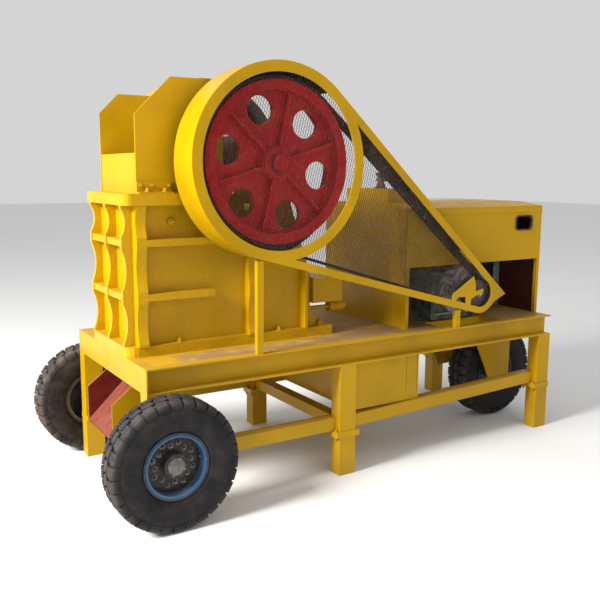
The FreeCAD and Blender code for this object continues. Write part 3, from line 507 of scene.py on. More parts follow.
def toothed_plate(name, top, bottom, out):
    """One tooth is a bar with a peaked face; copies of it stand side by side across the mouth."""
    pitch = (jaw_high.y - jaw_low.y - 0.02) / TEETH
    run = Vector(bottom) - Vector(top)
    tooth = bar(name, (TOOTH_DEPTH, pitch * 0.96, run.length))
    choose(tooth, tooth.data.vertices, lambda vertex: vertex.co.x > 0)
    bpy.ops.transform.resize(value=(1, CREST, 1))
    close_up()
    rounded(tooth, 0.003, 2, 20)
    lean = math.atan2(run.x, -run.z)
    middle = (Vector(top) + Vector(bottom)) / 2
    spots = []
    for i in range(TEETH):
        shift = (i - (TEETH - 1) / 2) * pitch
        spots.append(Matrix.Translation(middle + Vector((0, shift, 0))) @ Matrix.Rotation(-lean, 4, "Y")
                     @ Matrix.Scale(out, 4, (1, 0, 0)) @ Matrix.Translation((TOOTH_DEPTH / 2, 0, 0)))
    return settle(joined(name, copies(tooth, spots)))


fixed_face = jaw_high.x - 0.002
for name, top, bottom, out in (
        ("fixed_jaw_teeth", (fixed_face, 0, jaw_high.z - 0.02), (fixed_face, 0, 0.90), 1),
        ("swing_jaw_teeth", (base_low.x + 0.418, 0, 1.60), (base_low.x + 0.231, 0, 0.905), -1)):
    wear(toothed_plate(name, top, bottom, out), worn_steel, "plant")


# ---- Hopper -----------------------------------------------------------------------------------
# Four plates with flame-cut edges stand round the feed mouth, welded at the corners and bolted down
# to the top flange through short angles.

plate_yellow = enamel("hopper_plate_yellow", YELLOW, dust=0.35, chips=0.45, gloss=0.36)
dress(["hopper_side_plates", "hopper_end_plates"], plate_yellow)
hopper_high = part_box("hopper_side_plates")[1]
flange_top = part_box("top_flange")[1].z
upright, sideways = [], []
for side in (-1, 1):
    upright += [toward((0, 0, 1), (base_low.x + x, side * (hopper_high.y - 0.017), flange_top + 0.008))
                for x in (0.13, 0.225)]
    sideways += [toward((0, side, 0), (base_low.x + x, side * 0.293, flange_top + 0.040))
                 for x in (0.102, 0.165, 0.255)]
angle_bolts = copies(hexagon_bolt(0.020, 0.014), upright) + copies(hexagon_bolt(0.014, 0.007), sideways)
wear(joined("hopper_bolts", angle_bolts), bolt_yellow, "plant")


# ---- Bearings and shaft -----------------------------------------------------------------------
# Split cast housings with four long cap bolts each, a dished end cover and a grease nipple. The
# shaft is turned steel, bright where it shows and filmed with oil.

def turned_steel(name, tone, streaks=1.0):
    steel = Finish(name, IOR=2.4)
    grime = steel.noise(0.05, 5.0, 0.6)
    ring = steel.noise(0.002, 2.0, 0.5, steel.spot(stretch=(1, 0.05, 1)))
    colour = steel.mix(steel.step(grime, 0.45, 0.75), tone, (0.09, 0.06, 0.035, 1))
    steel.feed(Base_Color=colour, Metallic=steel.step(grime, 0.45, 0.75, 0.95, 0.4),
               Roughness=steel.step(grime, 0.3, 0.7, 0.28, 0.6) + ring * 0.1,
               Normal=steel.bump(ring, 0.0002 * streaks, 0.4))
    return steel.material


bright_steel = turned_steel("turned_steel", (0.46, 0.45, 0.43, 1))
dress(["eccentric_shaft"], bright_steel)
dress(["axles"], frame_yellow)
dress(["tension_rods"], bolt_yellow)
shaft_low, shaft_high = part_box("eccentric_shaft")
shaft_x, shaft_z = (shaft_low.x + shaft_high.x) / 2, (shaft_low.z + shaft_high.z) / 2
housing_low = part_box("bearing_housings")[0]


def ring_of(centre, radius, count, first, out):
    """Placements evenly round a circle about a line along Y, standing outward; first is in degrees."""
    places = []
    for i in range(count):
        turn = math.radians(first) + math.tau * i / count
        spot = Vector(centre) + Vector((radius * math.cos(turn), 0, radius * math.sin(turn)))
        places.append(toward((0, out, 0), spot))
    return places


cap_bolts, cover_bolts = [], []
for side in (-1, 1):
    cap_bolts += [toward((0, 0, 1), (shaft_x + x, side * y, housing_low.z + 0.036))
                  for x in (-0.134, 0.134) for y in (0.262, 0.288)]
    cover_bolts += ring_of((shaft_x, side * 0.311, shaft_z), 0.092, 6, 30, side)
bolts = copies(hexagon_bolt(0.022, 0.020), cap_bolts) + copies(hexagon_bolt(0.015, 0.008), cover_bolts)
wear(joined("bearing_bolts", bolts), bolt_yellow, "plant")


# ---- Flywheels --------------------------------------------------------------------------------
# Grey-iron castings with a rim, six ribs and six round holes, painted deep red. The hubs are held by
# round clamping rings with sunk screws, and the paint is thin and scuffed on the ribs' edges.

def rubbed_red(paint, base):
    """Brighter red where the flat faces have been scuffed."""
    scuff = paint.noise(0.035, 5.0, 0.7)
    face = paint.step(abs(paint.facing("Y")), 0.8, 0.95)
    return paint.mix(face * paint.step(scuff, 0.5, 0.72, 0, 0.5), base, (0.80, 0.030, 0.040, 1))


wheel_red = enamel("flywheel_red", (0.62, 0.006, 0.012, 1), cast=0.8, dust=0.1, chips=0.3, shade=rubbed_red)
dress(["flywheel_near", "flywheel_far"], wheel_red)
wheel_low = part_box("flywheel_near")[0]


def screw(across, depth):
    """A round-headed socket screw standing on +Z at the origin."""
    head = begin("screw", bpy.ops.mesh.primitive_cylinder_add, vertices=20, radius=across / 2, depth=depth,
                 location=(0, 0, depth / 2))
    choose(head, head.data.polygons, faces_up)
    bpy.ops.mesh.inset(thickness=across * 0.2)
    bpy.ops.mesh.extrude_region_move(TRANSFORM_OT_translate={"value": (0, 0, -depth * 0.5)})
    close_up()
    return rounded(head, across * 0.04)


def drawn_out(name, points):
    """One vertex drawn out along the points, left open for shaping and selected all over."""
    piece = begin(name, bpy.ops.mesh.primitive_plane_add, size=0.01)
    open_up(piece)
    bpy.ops.mesh.merge(type="CENTER")
    bpy.ops.mesh.select_all(action="SELECT")
    bpy.ops.transform.translate(value=points[0])
    for here, there in zip(points, points[1:]):
        bpy.ops.mesh.extrude_vertices_move(TRANSFORM_OT_translate={"value": there - here})
    bpy.ops.mesh.select_all(action="SELECT")
    return piece


def turned(name, outline, turns=48, closed=False):
    """A round piece about the Y axis, spun from an outline of places along the axis and radii."""
    piece = drawn_out(name, [Vector((0, y, radius)) for y, radius in outline])
    if closed:
        bpy.ops.mesh.edge_face_add()
        bpy.ops.mesh.delete(type="ONLY_FACE")
        bpy.ops.mesh.select_all(action="SELECT")
    bpy.ops.mesh.spin(steps=turns, angle=math.tau, center=(0, 0, 0), axis=(0, 1, 0))
    bpy.ops.mesh.select_all(action="SELECT")
    bpy.ops.mesh.remove_doubles(threshold=0.00005)
    bpy.ops.mesh.normals_make_consistent(inside=False)
    close_up()
    return piece


def moved(piece, spot, along=1):
    """Moves a piece, and flattens or turns it round along Y by a factor."""
    piece.data.transform(Matrix.Translation(spot) @ Matrix.Scale(along, 4, (0, 1, 0)))
    return piece


HUB_RECESS = 0.020
HUB_RING = [(0, 0.0472), (0, 0.082), (-0.003, 0.085), (-0.012, 0.085), (-0.015, 0.082), (-0.015, 0.056),
            (-0.011, 0.0472)]
for name, side in (("near", -1), ("far", 1)):
    face = -side * (wheel_low.y + HUB_RECESS)
    ring = moved(turned("ring", HUB_RING, closed=True), (shaft_x, face, shaft_z), -side)
    sunk = (shaft_x, face + side * 0.0145, shaft_z)
    screws = copies(screw(0.014, 0.006), ring_of(sunk, 0.069, 8, 30, side))
    wear(settle(joined("flywheel_hub_ring_" + name, [ring] + screws)), wheel_red, "rotor")
DISHED_CAP = [(0.001, 0.0), (0.001, 0.012), (0.006, 0.016), (0.0, 0.040), (-0.006, 0.0448), (-0.006, 0.0)]
end_caps = [moved(turned("cap", DISHED_CAP, 32), (shaft_x, y - side * 0.0015, shaft_z), -side)
            for side, y in ((-1, shaft_low.y), (1, shaft_high.y))]
wear(settle(joined("shaft_centre_plates", end_caps)), wheel_red, "rotor")


# ---- Drive belts and pulley -------------------------------------------------------------------
# Four rubber V-belts run from the near flywheel down to a small grooved pulley on the engine. The
# belts are black with a brown bloom, and their outer face shows the weave of the cover.

def belt_rubber():
    rubber = Finish("belt_rubber", IOR=1.5)
    bloom = rubber.noise(0.12, 4.0, 0.6)
    weave = rubber.noise(0.0025, 2.0)
    tone = rubber.mix(rubber.step(bloom, 0.4, 0.7), (0.016, 0.012, 0.014, 1), (0.050, 0.036, 0.040, 1))
    rubber.feed(Base_Color=tone, Roughness=rubber.step(bloom, 0.3, 0.7, 0.55, 0.8),
                Normal=rubber.bump(weave, 0.0004, 0.6))
    return rubber.material


dress(["drive_belts"], belt_rubber())
dress(["engine_pulley"], turned_steel("pulley_steel", (0.20, 0.19, 0.19, 1), 2.0))
pulley_low, pulley_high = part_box("engine_pulley")
pulley_x = (pulley_low.x + pulley_high.x) / 2
pulley_z = (pulley_low.z + pulley_high.z) / 2
pulley_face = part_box("drive_belts")[0].y - 0.007
nut = hexagon_bolt(0.030, 0.010)
nut.data.transform(toward((0, -1, 0), (pulley_x, pulley_low.y + 0.001, pulley_z)))
sunk = (pulley_x, pulley_face + 0.0005, pulley_z)
sunk_screws = copies(screw(0.016, 0.006), ring_of(sunk, 0.052, 6, 0, -1))
wear(settle(joined("pulley_nut_and_screws", [nut] + sunk_screws)), bright_steel, "pulley")


# ---- Belt guard -------------------------------------------------------------------------------
# Flat cut plates with a rolled sheet band, seam-welded and painted yellow. Expanded-metal sheets are
# spot-welded behind the openings; they are dipped in dark paint and rub bright at the knuckles.

guard_yellow = enamel("guard_yellow", YELLOW, dust=0.4, chips=0.35, gloss=0.30)
# Near-black: dark primer deepened into painted shade for the shadowed inside of the guard.
PRIMER_AND_PAINTED_SHADE = (0.030, 0.018, 0.018, 1)


def band_painted_shade_lining(paint, base):
    """The inner side of the rolled sheets is near-black: dark primer deepened with painted shade for the
    shadowed inside.
    """
    out = paint.from_axle((shaft_x, 0, shaft_z))
    across = abs(paint.part(paint.spot(), "Y"))
    within = paint.step(across, rail_high.y - 0.010, rail_high.y - 0.006, 1.0, 0.0)
    return paint.mix(paint.step(out, 0.5140, 0.5165, 1.0, 0.0) * within, base, PRIMER_AND_PAINTED_SHADE)


# The band and far guard are yellow outside, with painted shade on their inner faces.
band_paint = enamel("guard_band_paint", YELLOW, dust=0.4, chips=0.35, gloss=0.30, shade=band_painted_shade_lining)
# The guard's top leg gets a dark brown for its shaded underside: painted shade, not its paint colour.
top_leg_painted_shade = enamel("guard_top_leg_painted_shade", (0.062, 0.034, 0.040, 1), dust=0.1, chips=0.1, gloss=0.5)
# The back ring is near-black so the gap round the flywheel rim reads dark: painted shade.
back_ring_painted_shade = enamel("guard_back_ring_painted_shade", PRIMER_AND_PAINTED_SHADE, dust=0.1, chips=0.1, gloss=0.5)
dress(["belt_guard_frame", "guard_posts"], guard_yellow)
dress(["belt_guard_band", "far_guard"], band_paint)
dress(["guard_top_leg"], top_leg_painted_shade)
band_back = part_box("belt_guard_band")[1].y - 0.001
back_ring = turned("guard_back_ring", [(0, 0.428), (0, 0.5125), (-0.005, 0.5125), (-0.005, 0.428)], 96, True)
wear(settle(moved(back_ring, (shaft_x, band_back, shaft_z))), back_ring_painted_shade, "plant")


def mesh_metal():
    metal = Finish("dark_expanded_metal", Metallic=0.1, IOR=1.4, Specular_IOR_Level=0.25)
    cloud = metal.noise(0.10, 4.0, 0.6)
    rub = metal.noise(0.010, 3.0, 0.6)
    tone = metal.mix(metal.step(cloud, 0.4, 0.7), (0.026, 0.016, 0.010, 1), (0.060, 0.038, 0.026, 1))
    tone = metal.mix(metal.step(rub, 0.56, 0.72, 0, 0.5), tone, (0.20, 0.14, 0.11, 1))
    metal.feed(Base_Color=tone, Roughness=metal.step(rub, 0.35, 0.7, 0.62, 0.36),
               Normal=metal.bump(rub, 0.0004, 0.5))
    return metal.material


dark_mesh = mesh_metal()
guard_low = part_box("belt_guard_frame")[0]
mesh_low, mesh_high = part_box("guard_meshes")
GUARD_RADIUS, OPENING, GUARD_END, GUARD_BAR = 0.519, 0.462, 0.130, 0.042
RING_LAP, BAR_LAP, WINDOW_START = 0.012, 0.010, 0.15
DIAMOND_WIDE, DIAMOND_HIGH, STRAND, STRAND_DEEP, STRAND_TWIST = 0.0165, 0.034, 0.0016, 0.0022, 28
MESH_LEAN = math.radians(12)


def inside_ring(x, z):
    return math.hypot(x - shaft_x, z - shaft_z) < OPENING + RING_LAP


def inside_window(x, z):
    """Within the three-cornered window: outside the ring, inside both bars and short of the small end."""
    slope = math.atan2(pulley_z - shaft_z, pulley_x - shaft_x)
    reach = math.hypot(pulley_x - shaft_x, pulley_z - shaft_z)
    lean = math.asin((GUARD_RADIUS - GUARD_END) / reach)
    if math.hypot(x - shaft_x, z - shaft_z) < GUARD_RADIUS - RING_LAP:
        return False
    for turn in (math.pi / 2 - lean, lean - math.pi / 2):
        outward = (math.cos(slope + turn), math.sin(slope + turn))
        out = (x - shaft_x) * outward[0] + (z - shaft_z) * outward[1]
        if out > GUARD_RADIUS - GUARD_BAR + BAR_LAP:
            return False
    along = (x - shaft_x) * math.cos(slope) + (z - shaft_z) * math.sin(slope)
    if along < WINDOW_START:
        return False
    return along < reach or math.hypot(x - pulley_x, z - pulley_z) < GUARD_END - GUARD_BAR + BAR_LAP


def expanded_sheet(name, low, high, y, inside):
    """Four strands make a diamond, arrayed over a rectangle and cut back to the opening."""
    strand = bar(name, (math.hypot(DIAMOND_WIDE, DIAMOND_HIGH) / 2 + STRAND * 0.6, STRAND_DEEP, STRAND))
    corners_each = len(strand.data.vertices)
    climb = math.atan2(DIAMOND_HIGH, DIAMOND_WIDE)
    knots = []
    for flip in (1, -1):
        for i in (0, 1):
            lift = 0.25 if (i == 0) == (flip == 1) else 0.75
            knots.append(Matrix.Translation(((0.25 + 0.5 * i) * DIAMOND_WIDE, 0, lift * DIAMOND_HIGH))
                         @ Matrix.Rotation(-flip * climb, 4, "Y")
                         @ Matrix.Rotation(math.radians(STRAND_TWIST), 4, "X"))
    sheet = joined(name, copies(strand, knots))
    size = math.hypot(high[0] - low[0], high[1] - low[1])
    for axis, step in ((0, DIAMOND_WIDE), (2, DIAMOND_HIGH)):
        rows = sheet.modifiers.new("rows", "ARRAY")
        rows.use_relative_offset = False
        rows.use_constant_offset = True
        rows.constant_offset_displace = [step if i == axis else 0 for i in range(3)]
        rows.count = int(size / step) + 1
        bpy.ops.object.modifier_apply(modifier=rows.name)
    middle = ((low[0] + high[0]) / 2, y, (low[1] + high[1]) / 2)
    sheet.data.transform(Matrix.Translation(middle) @ Matrix.Rotation(-MESH_LEAN, 4, "Y")
                         @ Matrix.Translation((-size / 2, 0, -size / 2)))
    corners = [vertex.co for vertex in sheet.data.vertices]
    kept = []
    for first in range(0, len(corners), corners_each):
        own = corners[first:first + corners_each]
        kept.append(inside(sum(c.x for c in own) / corners_each, sum(c.z for c in own) / corners_each))
    choose(sheet, sheet.data.vertices, lambda vertex: not kept[vertex.index // corners_each])
    bpy.ops.mesh.delete(type="VERT")
    close_up()
    return sheet


near_y, far_y = mesh_low.y + STRAND, mesh_high.y - STRAND
ring_span = ((shaft_x - OPENING, shaft_z - OPENING), (shaft_x + OPENING, shaft_z + OPENING))
window_span = ((shaft_x + WINDOW_START, pulley_z - 0.1), (pulley_x + 0.15, shaft_z + 0.45))
for name, span, y, inside in (("guard_mesh_ring", ring_span, near_y, inside_ring),
                              ("guard_mesh_window", window_span, near_y, inside_window),
                              ("far_guard_mesh", ring_span, far_y, inside_ring)):
    sheet_metal = wear(expanded_sheet(name, *span, y, inside), dark_mesh, "plant")
    if name == "guard_mesh_ring":
        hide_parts("guard_meshes")


def cut_plate(name, outline, y, thickness):
    """A flat plate cut to an outline of x and z round the pulley's centre."""
    plate = drawn_out(name, [Vector((pulley_x + x, y, pulley_z + z)) for x, z in outline])
    bpy.ops.mesh.edge_face_add()
    bpy.ops.mesh.extrude_region_move(TRANSFORM_OT_translate={"value": (0, thickness, 0)})
    bpy.ops.mesh.select_all(action="SELECT")
    bpy.ops.mesh.normals_make_consistent(inside=False)
    close_up()
    return rounded(plate, 0.0012)


PLATE_AND_STAY = [
    (-0.071, 0.115), (-0.053, 0.064), (-0.051, 0.018), (0.013, 0.030), (0.016, 0.006),
    (-0.044, -0.012), (-0.088, -0.030), (-0.093, -0.060), (-0.085, -0.100), (-0.140, -0.100),
    (-0.134, -0.060), (-0.138, -0.012), (-0.205, -0.010), (-0.222, -0.036), (-0.246, -0.046),
    (-0.252, -0.016), (-0.246, 0.015)]
stiffener = cut_plate("guard_stiffener_plate", PLATE_AND_STAY, guard_low.y + 0.0010, 0.006)
wear(settle(stiffener), guard_yellow, "plant")
far_face = -guard_low.y - 0.0042
rim_screws = copies(screw(0.013, 0.0035), ring_of((shaft_x, far_face, shaft_z), 0.4905, 16, 11.25, 1))
wear(joined("far_guard_screws", rim_screws), bolt_yellow, "plant")


# ---- Engine -----------------------------------------------------------------------------------
# A small four-cylinder diesel, dark green under years of oil. It stands across the frame under the
# hood with its fan and radiator at the back and its manifold toward the opening.

def engine_finish():
    green = Finish("oily_engine_green", IOR=1.5)
    grease = green.noise(0.06, 5.0, 0.65)
    grit = green.noise(0.007, 4.0)
    tone = green.mix(green.step(grease, 0.4, 0.65), (0.10, 0.135, 0.105, 1), (0.035, 0.030, 0.024, 1))
    ledge = green.step(green.facing("Z"), 0.4, 0.9, 0, 0.5)
    tone = green.mix(ledge * green.step(grit, 0.4, 0.6), tone, (0.22, 0.16, 0.09, 1))
    green.feed(Base_Color=tone, Roughness=green.step(grease, 0.35, 0.7, 0.62, 0.3),
               Normal=green.bump(grit, 0.001, 0.6, green.bump(grease, 0.004, 0.4)))
    return green.material


def grey_alloy():
    alloy = Finish("grey_cast_alloy", IOR=1.8)
    dirt = alloy.noise(0.04, 5.0, 0.65)
    grit = alloy.noise(0.005, 3.0)
    tone = alloy.mix(alloy.step(dirt, 0.42, 0.66), (0.42, 0.42, 0.41, 1), (0.10, 0.085, 0.07, 1))
    alloy.feed(Base_Color=tone, Metallic=alloy.step(dirt, 0.42, 0.66, 0.7, 0.1),
               Roughness=alloy.step(dirt, 0.3, 0.7, 0.45, 0.7), Normal=alloy.bump(grit, 0.0006, 0.6))
    return alloy.material


engine_green = engine_finish()
alloy_grey = grey_alloy()
dress(["engine"], engine_green)
engine_low, engine_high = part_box("engine")
BLOCK_NEAR, BLOCK_END = -0.313, engine_high.x - 0.087
cover_top = engine_high.z + 0.055
cover = block("cover", (engine_low.x + 0.11, -0.270, engine_high.z),
              (BLOCK_END - 0.13, 0.270, cover_top), 0.0)
choose(cover, cover.data.vertices, lambda vertex: vertex.co.z > engine_high.z + 0.02)
bpy.ops.transform.resize(value=(0.82, 0.95, 1))
close_up()
rounded(cover, 0.012, 3)
cover_x = (engine_low.x + BLOCK_END) / 2 - 0.01
cover_nuts = copies(hexagon_bolt(0.020, 0.014), [
    toward((0, 0, 1), (cover_x, y, cover_top - 0.001)) for y in (-0.18, 0.0, 0.18)])
wear(settle(joined("engine_rocker_cover", [cover] + cover_nuts)), alloy_grey, "plant")


def pipe(name, points, radius, ring=8):
    """A bent tube along a smooth line, closed at both ends."""
    line = bpy.data.curves.new(name, "CURVE")
    line.dimensions = "3D"
    line.bevel_depth = radius
    line.bevel_resolution = ring // 4
    line.use_fill_caps = True
    line.resolution_u = 5
    spline = line.splines.new("NURBS")
    spline.points.add(len(points) - 1)
    for spot, point in zip(points, spline.points):
        point.co = (*spot, 1)
    spline.use_endpoint_u = True
    spline.order_u = 3
    tube = bpy.data.objects.new(name, line)
    bpy.context.scene.collection.objects.link(tube)
    only(tube)
    bpy.ops.object.convert(target="MESH")
    return settle(bpy.context.object)


def behind_block(*spots):
    """Points given by their distance behind the engine block, then y and z."""
    return [(BLOCK_END + x, y, z) for x, y, z in spots]


runners = []
for y in (-0.21, -0.07, 0.07, 0.21):
    bend = behind_block((-0.07, y, 1.215), (-0.02, y, 1.222), (0.035, y, 1.205), (0.04, y - 0.03, 1.185))
    runners.append(pipe("runner", bend, 0.021, 12))
    runners.append(block("flange", (BLOCK_END - 0.062, y - 0.036, 1.178),
                         (BLOCK_END - 0.048, y + 0.036, 1.252), 0.004))
log = behind_block((0.042, -0.30, 1.180), (0.042, -0.05, 1.178), (0.042, 0.24, 1.180))
outlet = behind_block((0.042, -0.27, 1.185), (0.044, -0.31, 1.20), (0.046, -0.315, 1.26),
                      (0.046, -0.315, 1.33))
runners += [pipe("log", log, 0.032, 16), pipe("outlet", outlet, 0.026, 12)]
wear(joined("engine_manifold", runners), alloy_grey, "plant")

tubes = []
side_x = engine_low.x
for i in range(4):
    start, end = -0.05 + 0.03 * i, -0.225 + 0.15 * i
    climb = [(side_x + 0.045, start, 1.02), (side_x - 0.02, start, 1.06), (side_x - 0.02, end, 1.14),
             (side_x + 0.03, end, 1.24), (side_x + 0.09, end, 1.262)]
    tubes.append(pipe("fuel_pipe", climb, 0.0035))
for hose in (behind_block((0.02, 0.12, 0.98), (0.09, 0.16, 0.96), (0.16, 0.19, 1.02), (0.235, 0.20, 1.10)),
             behind_block((-0.09, 0.20, 1.292), (0.02, 0.22, 1.34), (0.14, 0.21, 1.32), (0.235, 0.19, 1.24))):
    tubes.append(pipe("hose", hose, 0.019, 12))
wear(joined("engine_pipes", tubes), belt_rubber(), "plant")

PUMP = [(-0.001, 0.0), (-0.001, 0.050), (-0.012, 0.056), (-0.055, 0.056), (-0.060, 0.044), (-0.085, 0.040),
        (-0.090, 0.028), (-0.105, 0.028), (-0.105, 0.0)]
ALTERNATOR = [(0.0, 0.0), (0.0, 0.052), (-0.010, 0.062), (-0.030, 0.062), (-0.034, 0.058),
              (-0.066, 0.058), (-0.070, 0.062), (-0.088, 0.060), (-0.096, 0.042), (-0.104, 0.018),
              (-0.118, 0.018), (-0.118, 0.0)]
HOUSING = [(0.0, 0.0), (0.0, 0.150), (-0.012, 0.156), (-0.030, 0.156), (-0.040, 0.142), (-0.052, 0.060),
           (-0.056, 0.034), (-0.056, 0.0)]
side_y = BLOCK_NEAR + 0.001
side_parts = [moved(turned("pump", PUMP, 32), (engine_low.x + 0.085, side_y, 1.00)),
              moved(turned("alternator", ALTERNATOR, 36), (BLOCK_END - 0.045, side_y, 1.055)),
              moved(turned("housing", HOUSING), (pulley_x, side_y, pulley_z))]
for z in (0.83, 1.10):
    side_parts.append(block("rib", (engine_low.x + 0.02, BLOCK_NEAR - 0.008, z),
                            (BLOCK_END - 0.02, BLOCK_NEAR + 0.002, z + 0.012)))
housing_rim = (pulley_x, BLOCK_NEAR - 0.029, pulley_z)
side_parts += copies(hexagon_bolt(0.014, 0.009), ring_of(housing_rim, 0.145, 12, 15, -1))
wear(settle(joined("engine_side_parts", side_parts)), alloy_grey, "plant")

RADIATOR, CORE_HALF, FIN_PITCH, TUBE_PITCH = BLOCK_END + 0.235, 0.26, 0.0085, 0.02
radiator = [block("tank", (RADIATOR, -CORE_HALF, low), (RADIATOR + 0.07, CORE_HALF, high), 0.012)
            for low, high in ((1.30, 1.36), (0.83, 0.88))]
radiator += [block("post", (RADIATOR + 0.005, y, 0.86), (RADIATOR + 0.065, y + 0.012, 1.32), 0.003)
             for y in (-CORE_HALF, CORE_HALF - 0.012)]
radiator += copies(block("fin", (-0.0009, -0.25, 0), (0.028, 0.25, 0.0012), 0.0002), [
    Matrix.Translation((RADIATOR + 0.02, 0, 0.885 + FIN_PITCH * i)) for i in range(49)])
radiator += copies(block("tube", (0, -0.0015, 0.875), (0.02, 0.0015, 1.305), 0.0008), [
    Matrix.Translation((RADIATOR + 0.024, -0.24 + TUBE_PITCH * i, 0)) for i in range(25)])
wear(settle(joined("radiator", radiator)), engine_green, "plant")

BLADES, BLADE_PITCH, FAN_HEIGHT = 6, 28, 1.06
blade = block("blade", (-0.006, 0.030, -0.034), (0.006, 0.185, 0.034), 0.0)
open_up(blade)
bpy.ops.mesh.subdivide(number_cuts=3)
bpy.ops.transform.resize(value=(0.35, 1, 1))
close_up()
blade.data.transform(Matrix.Rotation(math.radians(BLADE_PITCH), 4, "Y"))
fan_middle = Matrix.Translation((BLOCK_END + 0.165, 0, FAN_HEIGHT))
fan = copies(blade, [fan_middle @ Matrix.Rotation(math.tau * i / BLADES, 4, "X") for i in range(BLADES)])
boss = turned("boss", [(0.045, 0.0), (0.045, 0.030), (0.040, 0.036), (-0.110, 0.036), (-0.110, 0.0)], 24)
boss.data.transform(Matrix.Translation((BLOCK_END + 0.13, 0, FAN_HEIGHT))
                    @ Matrix.Rotation(-math.pi / 2, 4, "Z"))
wear(settle(joined("cooling_fan", fan + [boss])), engine_green, "plant")


# ---- Hood, cowl and exhaust -------------------------------------------------------------------
# Folded sheet panels bolted to corner posts, with a flanged lid. The side ports have a rubber edge,
# and the sheet has gone slightly wavy between its folds. The stack is bare steel, burnt and rusty.

hood_low, hood_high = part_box("hood_side_panels")


def hood_lining(paint, base):
    """The inner faces were left in dark red primer."""
    where = paint.spot(((hood_low.x + hood_high.x) / 2, 0, 0))
    inside = [paint.step(abs(paint.part(where, axis)), half - 0.004, half - 0.002, 1.0, 0.0)
              for axis, half in (("X", (hood_high.x - hood_low.x) / 2), ("Y", hood_high.y))]
    return paint.mix(inside[0] * inside[1], base, (0.075, 0.020, 0.014, 1))


hood_yellow = enamel("hood_yellow", YELLOW, dust=0.6, chips=0.3, gloss=0.33)
sheet_paint = enamel("hood_sheet_paint", YELLOW, dust=0.3, chips=0.3, gloss=0.33, shade=hood_lining)
dress(["hood_side_panels", "hood_end_panels"], sheet_paint)
dress(["hood_lid", "air_cowl"], hood_yellow)
lid_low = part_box("hood_lid")[0]
OPEN_TOP, POST, FOLD, FOLD_IN, DRIP = 1.180, 0.026, 0.004, 0.026, 0.003
trim = []
for side in (-1, 1):
    face = side * hood_high.y
    out_low, out_high = sorted((face, face + side * DRIP))
    in_low, in_high = sorted((face - side * 0.004, face - side * FOLD_IN))
    bars = [((hood_low.x, out_low, lid_low.z + 0.002), (hood_high.x, out_high, lid_low.z + 0.036)),
            ((hood_low.x + POST, in_low, OPEN_TOP), (hood_high.x - POST, in_high, OPEN_TOP + FOLD))]
    for x in (hood_low.x + POST - FOLD, hood_high.x - POST):
        bars.append(((x, in_low, hood_low.z + 0.001), (x + FOLD, in_high, OPEN_TOP)))
    trim += [block("fold", low, high, 0.001) for low, high in bars]
trim += copies(screw(0.014, 0.004), [
    toward((0, side, 0), (x, side * (hood_high.y + 0.0005), z)) for side in (-1, 1)
    for x in (hood_low.x + 0.013, hood_high.x - 0.013) for z in (0.84, 1.00, 1.16, 1.32, 1.46)])
wear(settle(joined("hood_trim", trim)), hood_yellow, "plant")


def port_edge(side):
    """A rubber edging pushed on round the cut-out: a square frame, rounded and hollowed."""
    low_y, high_y = sorted((side * hood_high.y, side * (hood_high.y + 0.004)))
    edging = block("ring", (base_low.x + 2.682, low_y - 0.004, 1.380),
                   (base_low.x + 2.846, high_y, 1.482), 0.0)
    only(edging)
    corners = edging.modifiers.new("corners", "BEVEL")
    corners.width = 0.026
    corners.segments = 4
    corners.limit_method = "WEIGHT"
    weights = edging.data.attributes.new("bevel_weight_edge", "FLOAT", "EDGE")
    for edge in edging.data.edges:
        a, b = (edging.data.vertices[i].co for i in edge.vertices)
        weights.data[edge.index].value = 1.0 if abs(a.y - b.y) > 0.002 and abs(a.x - b.x) < 1e-5 else 0.0
    bpy.ops.object.modifier_apply(modifier=corners.name)
    open_up(edging)
    bpy.ops.mesh.select_mode(type="FACE")
    close_up()
    choose(edging, edging.data.polygons, lambda face: abs(face.normal.y) > 0.9)
    bpy.ops.mesh.inset(thickness=0.009, use_even_offset=True)
    bpy.ops.mesh.bridge_edge_loops()
    bpy.ops.mesh.select_mode(type="VERT")
    close_up()
    return rounded(edging, 0.0012)


port_edges = settle(joined("hood_port_edging", [port_edge(-1), port_edge(1)]))
wear(port_edges, belt_rubber(), "plant")


def burnt_steel():
    steel = Finish("burnt_exhaust_steel", IOR=1.8)
    patch = steel.noise(0.05, 5.0, 0.65)
    flake = steel.noise(0.006, 4.0)
    soot = steel.step(steel.part(steel.spot(), "Z"), 1.70, 1.765)
    tone = steel.mix(steel.step(patch, 0.4, 0.65), (0.07, 0.055, 0.045, 1), (0.17, 0.065, 0.025, 1))
    tone = steel.mix(soot, tone, (0.012, 0.011, 0.010, 1))
    steel.feed(Base_Color=tone, Roughness=steel.step(flake, 0.3, 0.7, 0.6, 0.9),
               Metallic=steel.step(patch, 0.4, 0.65, 0.5, 0.05), Normal=steel.bump(flake, 0.0012, 0.7))
    return steel.material


burnt = burnt_steel()
dress(["exhaust_stack"], burnt)
stack_low, stack_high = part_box("exhaust_stack")
stack_x, stack_y = (stack_low.x + stack_high.x) / 2, (stack_low.y + stack_high.y) / 2
CLAMP_HEIGHT = 0.055
COLLAR = [(0.0, 0.0242), (0.0, 0.044), (0.006, 0.044), (0.010, 0.030), (0.030, 0.028), (0.030, 0.0242)]
CLAMP = [(-0.008, 0.0242), (-0.008, 0.030), (0.008, 0.030), (0.008, 0.0242)]
bands = []
for name, outline, height in (("collar", COLLAR, 0), ("clamp", CLAMP, CLAMP_HEIGHT)):
    band = turned(name, outline, 32, True)
    band.data.transform(Matrix.Translation((stack_x, stack_y, stack_low.z + height))
                        @ Matrix.Rotation(math.pi / 2, 4, "X"))
    bands.append(band)
beside_stack = (stack_x + 0.034, stack_y - 0.004, stack_low.z + CLAMP_HEIGHT)
bands += copies(hexagon_bolt(0.012, 0.02), [toward((0, -1, 0), beside_stack)])
wear(settle(joined("exhaust_collar", bands)), burnt, "plant")


